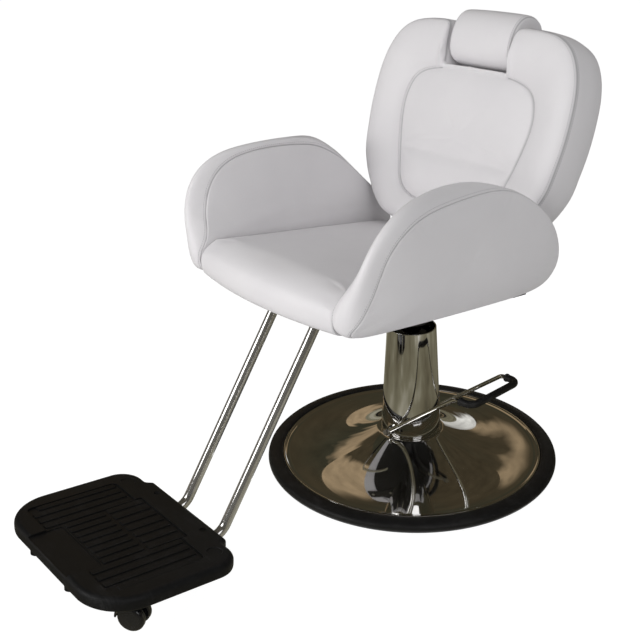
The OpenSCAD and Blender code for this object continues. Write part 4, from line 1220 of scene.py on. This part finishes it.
def plate_recesses():
    """Tools that cut the sunken fields and screw wells into the top."""
    tools = [
        block(-178, 178, -256, -52, -3, 10, 0, 14),
        block(-92, 92, -100, -38, -3, 10, 0, 5),
        block(-82, 82, -PLATE_D - 10, -221, -4.5, 10, 0, 4),
    ]
    for s in (-1, 1):
        for x, u, r, v in ((168, -27, 16, -1.4), (89, -2, 6, -3.2)):
            bm = bmesh.new()
            add_cone(bm, r - 1.2, r + 1.0, 2.4, (s * x, u, v + 1.2), 64)
            add_cone(bm, r + 1.0, r + 1.0, 8, (s * x, u, v + 2.4 + 4), 64)
            tools.append(bm)
    return tools


# places across the plate, width, front and rear end of each row of raised ribs
RIB_ROWS = [
    ([-169, 169], 15, -234, -58),
    ([-146, -122, -98, 98, 122, 146], 15, -252, -57),
    ([-77, -55, -33, -11, 11, 33, 55, 77], 14, -217, -130),
    ([-80, -53.3, -26.7, 0, 26.7, 53.3, 80], 17, -122, -42),
]
WEB_T = 2.4
WEB_H = 13


def plate_ribs():
    """Raised ribs on top, and caster posts, screw posts and stiffening webs underneath."""
    whole = bmesh.new()
    for places, width, u0, u1 in RIB_ROWS:
        for x in places:
            rib = from_bmesh(block(x - width / 2, x + width / 2, u0, u1, -3.6, -1.0, 0.9, 2.6), "rib")
            whole.from_mesh(rib.data)
            bpy.data.objects.remove(rib)
    for s in (-1, 1):
        for z0, r0, z1, r1 in ((-39, 9.2, -37.6, 10.6), (-37.6, 11, -10, 11)):
            add_cone(whole, r0, r1, z1 - z0, (s * 73, -PLATE_D + 14, (z0 + z1) / 2))
        for u in (-1, -175):
            add_cone(whole, 8, 8, 19.5, (s * 89, u, -PLATE_T + 9.75), 40)
    for x in (-165, -125, -45, 0, 45, 125, 165):
        add_box(whole, (x, -145, -15), (WEB_T, 270, WEB_H))
    for u, width in ((-240, 380), (-145, 410), (-60, 410)):
        add_box(whole, (0, u, -15), (width, WEB_T, WEB_H))
    return whole


def make_plate():
    o = plate_outline()
    out = outward(o, 2)
    section = [(9, -9.0), (9, -26.5), (8.3, -27.6), (6.6, -PLATE_T), (5.2, -PLATE_T), (3.0, -27.4)]
    section += [(1.3, -25.8), (0.4, -23.5), (0, -20), (0, -16)]
    section += [(RIM + x, -RIM + z) for x, z in arc(0, 0, RIM, 180, 90, 10)]
    rings = [plate_world(np.column_stack([o - inset * out, np.full(len(o), z)])) for inset, z in section]
    plate = skin("skin_footplate", rings, flat=True)
    for i, bm in enumerate(plate_recesses()):
        carve(plate, plate_piece(bm, "tool%d" % i))
    soften(plate, 32)
    ribs = plate_piece(plate_ribs(), "footplate_ribs")
    soften(ribs, 38)
    bosses = bmesh.new()
    for s in (-1, 1):
        add_cone(bosses, 0.0122, 0.013, 0.034, (s * 0.134, -0.856, 0.109))
    boss = from_bmesh(bosses, "footplate_bosses")
    soften(boss, 38)
    dress(plate, "footrest", PLASTIC, ("footplate",))
    dress(ribs, "footrest", PLASTIC)
    dress(boss, "footrest", PLASTIC)


make_plate()

# floor
bpy.ops.mesh.primitive_plane_add(size=60, location=(0, 0, 0))
floor = bpy.context.object
floor.name = "floor"
floor.data.materials.append(floor_material())


def reflection_material(name, stops, scale, low, high, around):
    """Glow of uneven room colours round the object, for cards that only reflections see."""
    m = Nodes(name)
    m.tree.nodes.remove(m.bsdf)
    e = m.node("ShaderNodeEmission")
    patches = m.noise(scale, 3.0, 0.55)
    if around:
        turn_node = m.node("ShaderNodeTexGradient", Vector=m.coord)
        turn_node.gradient_type = "RADIAL"
        place = m.scaled(m.math("SUBTRACT", patches, 0.5), 0.05, turn_node.outputs["Fac"])
    else:
        place = patches
    m.wire(m.ramp(place, stops), e.inputs[0])
    m.wire(m.scaled(m.noise(scale * 3, 4.0, 0.6), high - low, low), e.inputs[1])
    m.wire(e.outputs[0], m.out.inputs[0])
    return m.mat


def card(name, verts, faces, mat):
    """Studio card that only reflections see."""
    obj = link(name, verts, faces, smooth=False)
    obj.data.materials.append(mat)
    for ray in ("camera", "diffuse", "shadow", "transmission", "volume_scatter"):
        setattr(obj, "visible_" + ray, False)


BROWN = (0.055, 0.043, 0.025)
OLIVE = (0.040, 0.038, 0.024)
TAN = (0.34, 0.25, 0.15)
PALE = (0.85, 0.84, 0.80)
FAR = 4.2
SIDES = 96
turn = [2 * math.pi * k / SIDES for k in range(SIDES)]
for name, lines, around, scale, low, high, stops in (
    ("card_low_room", ((FAR, 0.0), (FAR, 0.8)), True, 1.6, 0.5, 1.5, [
        (0.0, OLIVE), (0.10, BROWN), (0.13, TAN), (0.16, OLIVE), (0.40, BROWN), (0.55, OLIVE),
        (0.70, BROWN), (0.80, BROWN), (0.845, PALE), (0.853, BROWN), (0.893, BROWN), (0.900, TAN),
        (0.922, TAN), (0.927, OLIVE),
    ]),
    ("card_high_room", ((FAR, 0.8), (FAR, 3.2)), True, 0.9, 0.6, 1.4, [
        (0.0, OLIVE), (0.12, BROWN), (0.30, OLIVE), (0.50, BROWN), (0.70, OLIVE), (0.82, BROWN),
        (0.834, TAN), (0.842, BROWN), (0.87, OLIVE), (0.91, BROWN), (0.946, OLIVE), (0.955, TAN),
        (0.975, TAN), (0.985, BROWN),
    ]),
    ("card_roof", ((FAR, 3.2), (2.2, 3.6), (0.3, 3.7)), True, 0.9, 0.5, 1.5, [
        (0.0, OLIVE), (0.3, BROWN), (0.6, OLIVE), (0.80, BROWN), (0.86, BROWN), (0.885, OLIVE),
        (0.90, BROWN), (0.915, TAN), (0.96, TAN), (0.968, BROWN),
    ]),
    ("card_ground", ((0.352, 0.001), (FAR, 0.001)), False, 1.3, 0.8, 1.2, [
        (0.28, (0.035, 0.032, 0.022)), (0.42, (0.13, 0.115, 0.075)), (0.55, (0.19, 0.175, 0.12)),
        (0.66, (0.34, 0.32, 0.25)), (0.78, (0.75, 0.74, 0.70)),
    ]),
):
    rows = [[(r * math.cos(a), r * math.sin(a), z) for a in turn] for r, z in lines]
    card(name, *ring_skin(rows), reflection_material(name, stops, scale, low, high, around))


# lamps; only key and fill are seen in reflections
def lamp(name, place, target, size, power, colour=(1, 1, 1), size_y=None):
    data = bpy.data.lights.new(name, "AREA")
    data.energy = power
    data.color = colour
    data.shape = "RECTANGLE"
    data.size = size
    data.size_y = size_y or size
    obj = bpy.data.objects.new(name, data)
    bpy.context.scene.collection.objects.link(obj)
    obj.location = place
    obj.rotation_euler = (Vector(target) - Vector(place)).to_track_quat("-Z", "Y").to_euler()
    obj.visible_glossy = name in ("key", "fill")


lamp("key", (-0.9, -4.0, 1.9), (0, -0.2, 0.6), 2.2, 50, (1.0, 0.99, 0.985), 1.7)
lamp("wide", (0.2, -3.5, 0.95), (0, -0.2, 0.6), 5.5, 40, (1.0, 0.99, 0.985), 1.4)
lamp("fill", (2.8, -0.9, 2.2), (0, -0.1, 0.6), 1.6, 12, (0.98, 0.98, 1.0))
lamp("top", (0.2, 0.3, 3.2), (0, 0, 0.5), 1.6, 4)
lamp("rim", (1.2, 2.9, 2.4), (0, 0, 0.7), 1.2, 4, (0.98, 0.98, 1.0))

SHADE = 0.35
WHITE_ADDED = 0.65
world = bpy.data.worlds.new("studio")
bpy.context.scene.world = world
world.use_nodes = True
world_tree = world.node_tree
world_tree.nodes.clear()
backdrop = world_tree.nodes.new("ShaderNodeBackground")
backdrop.inputs["Color"].default_value = (1, 1, 1, 1)
strength = math_node(world_tree, "MULTIPLY_ADD", white_rays(world_tree), WHITE_ADDED, SHADE)
wire(world_tree, strength, backdrop.inputs["Strength"])
wire(world_tree, backdrop.outputs[0], world_tree.nodes.new("ShaderNodeOutputWorld").inputs[0])

# camera solved from the photo
AZIMUTH = math.radians(51.77)
PITCH = math.radians(-23.11)
ROLL = math.radians(-1.62)
LENS = 58.93
CAMERA_AT = (1.6203, -1.5468, 1.3117)
level = Vector((math.cos(AZIMUTH), math.sin(AZIMUTH), 0))
ahead = Vector((-math.sin(AZIMUTH) * math.cos(PITCH), math.cos(AZIMUTH) * math.cos(PITCH), math.sin(PITCH)))
above = level.cross(ahead)
axes = (
    level * math.cos(ROLL) + above * math.sin(ROLL),
    -level * math.sin(ROLL) + above * math.cos(ROLL),
    -ahead,
)
cam_data = bpy.data.cameras.new("camera")
cam_data.sensor_width = 36
cam_data.lens = LENS
cam = bpy.data.objects.new("camera", cam_data)
bpy.context.scene.collection.objects.link(cam)
cam.matrix_world = Matrix.Translation(CAMERA_AT) @ Matrix(axes).transposed().to_4x4()
bpy.context.scene.camera = cam
bpy.context.scene.view_settings.view_transform = "Standard"
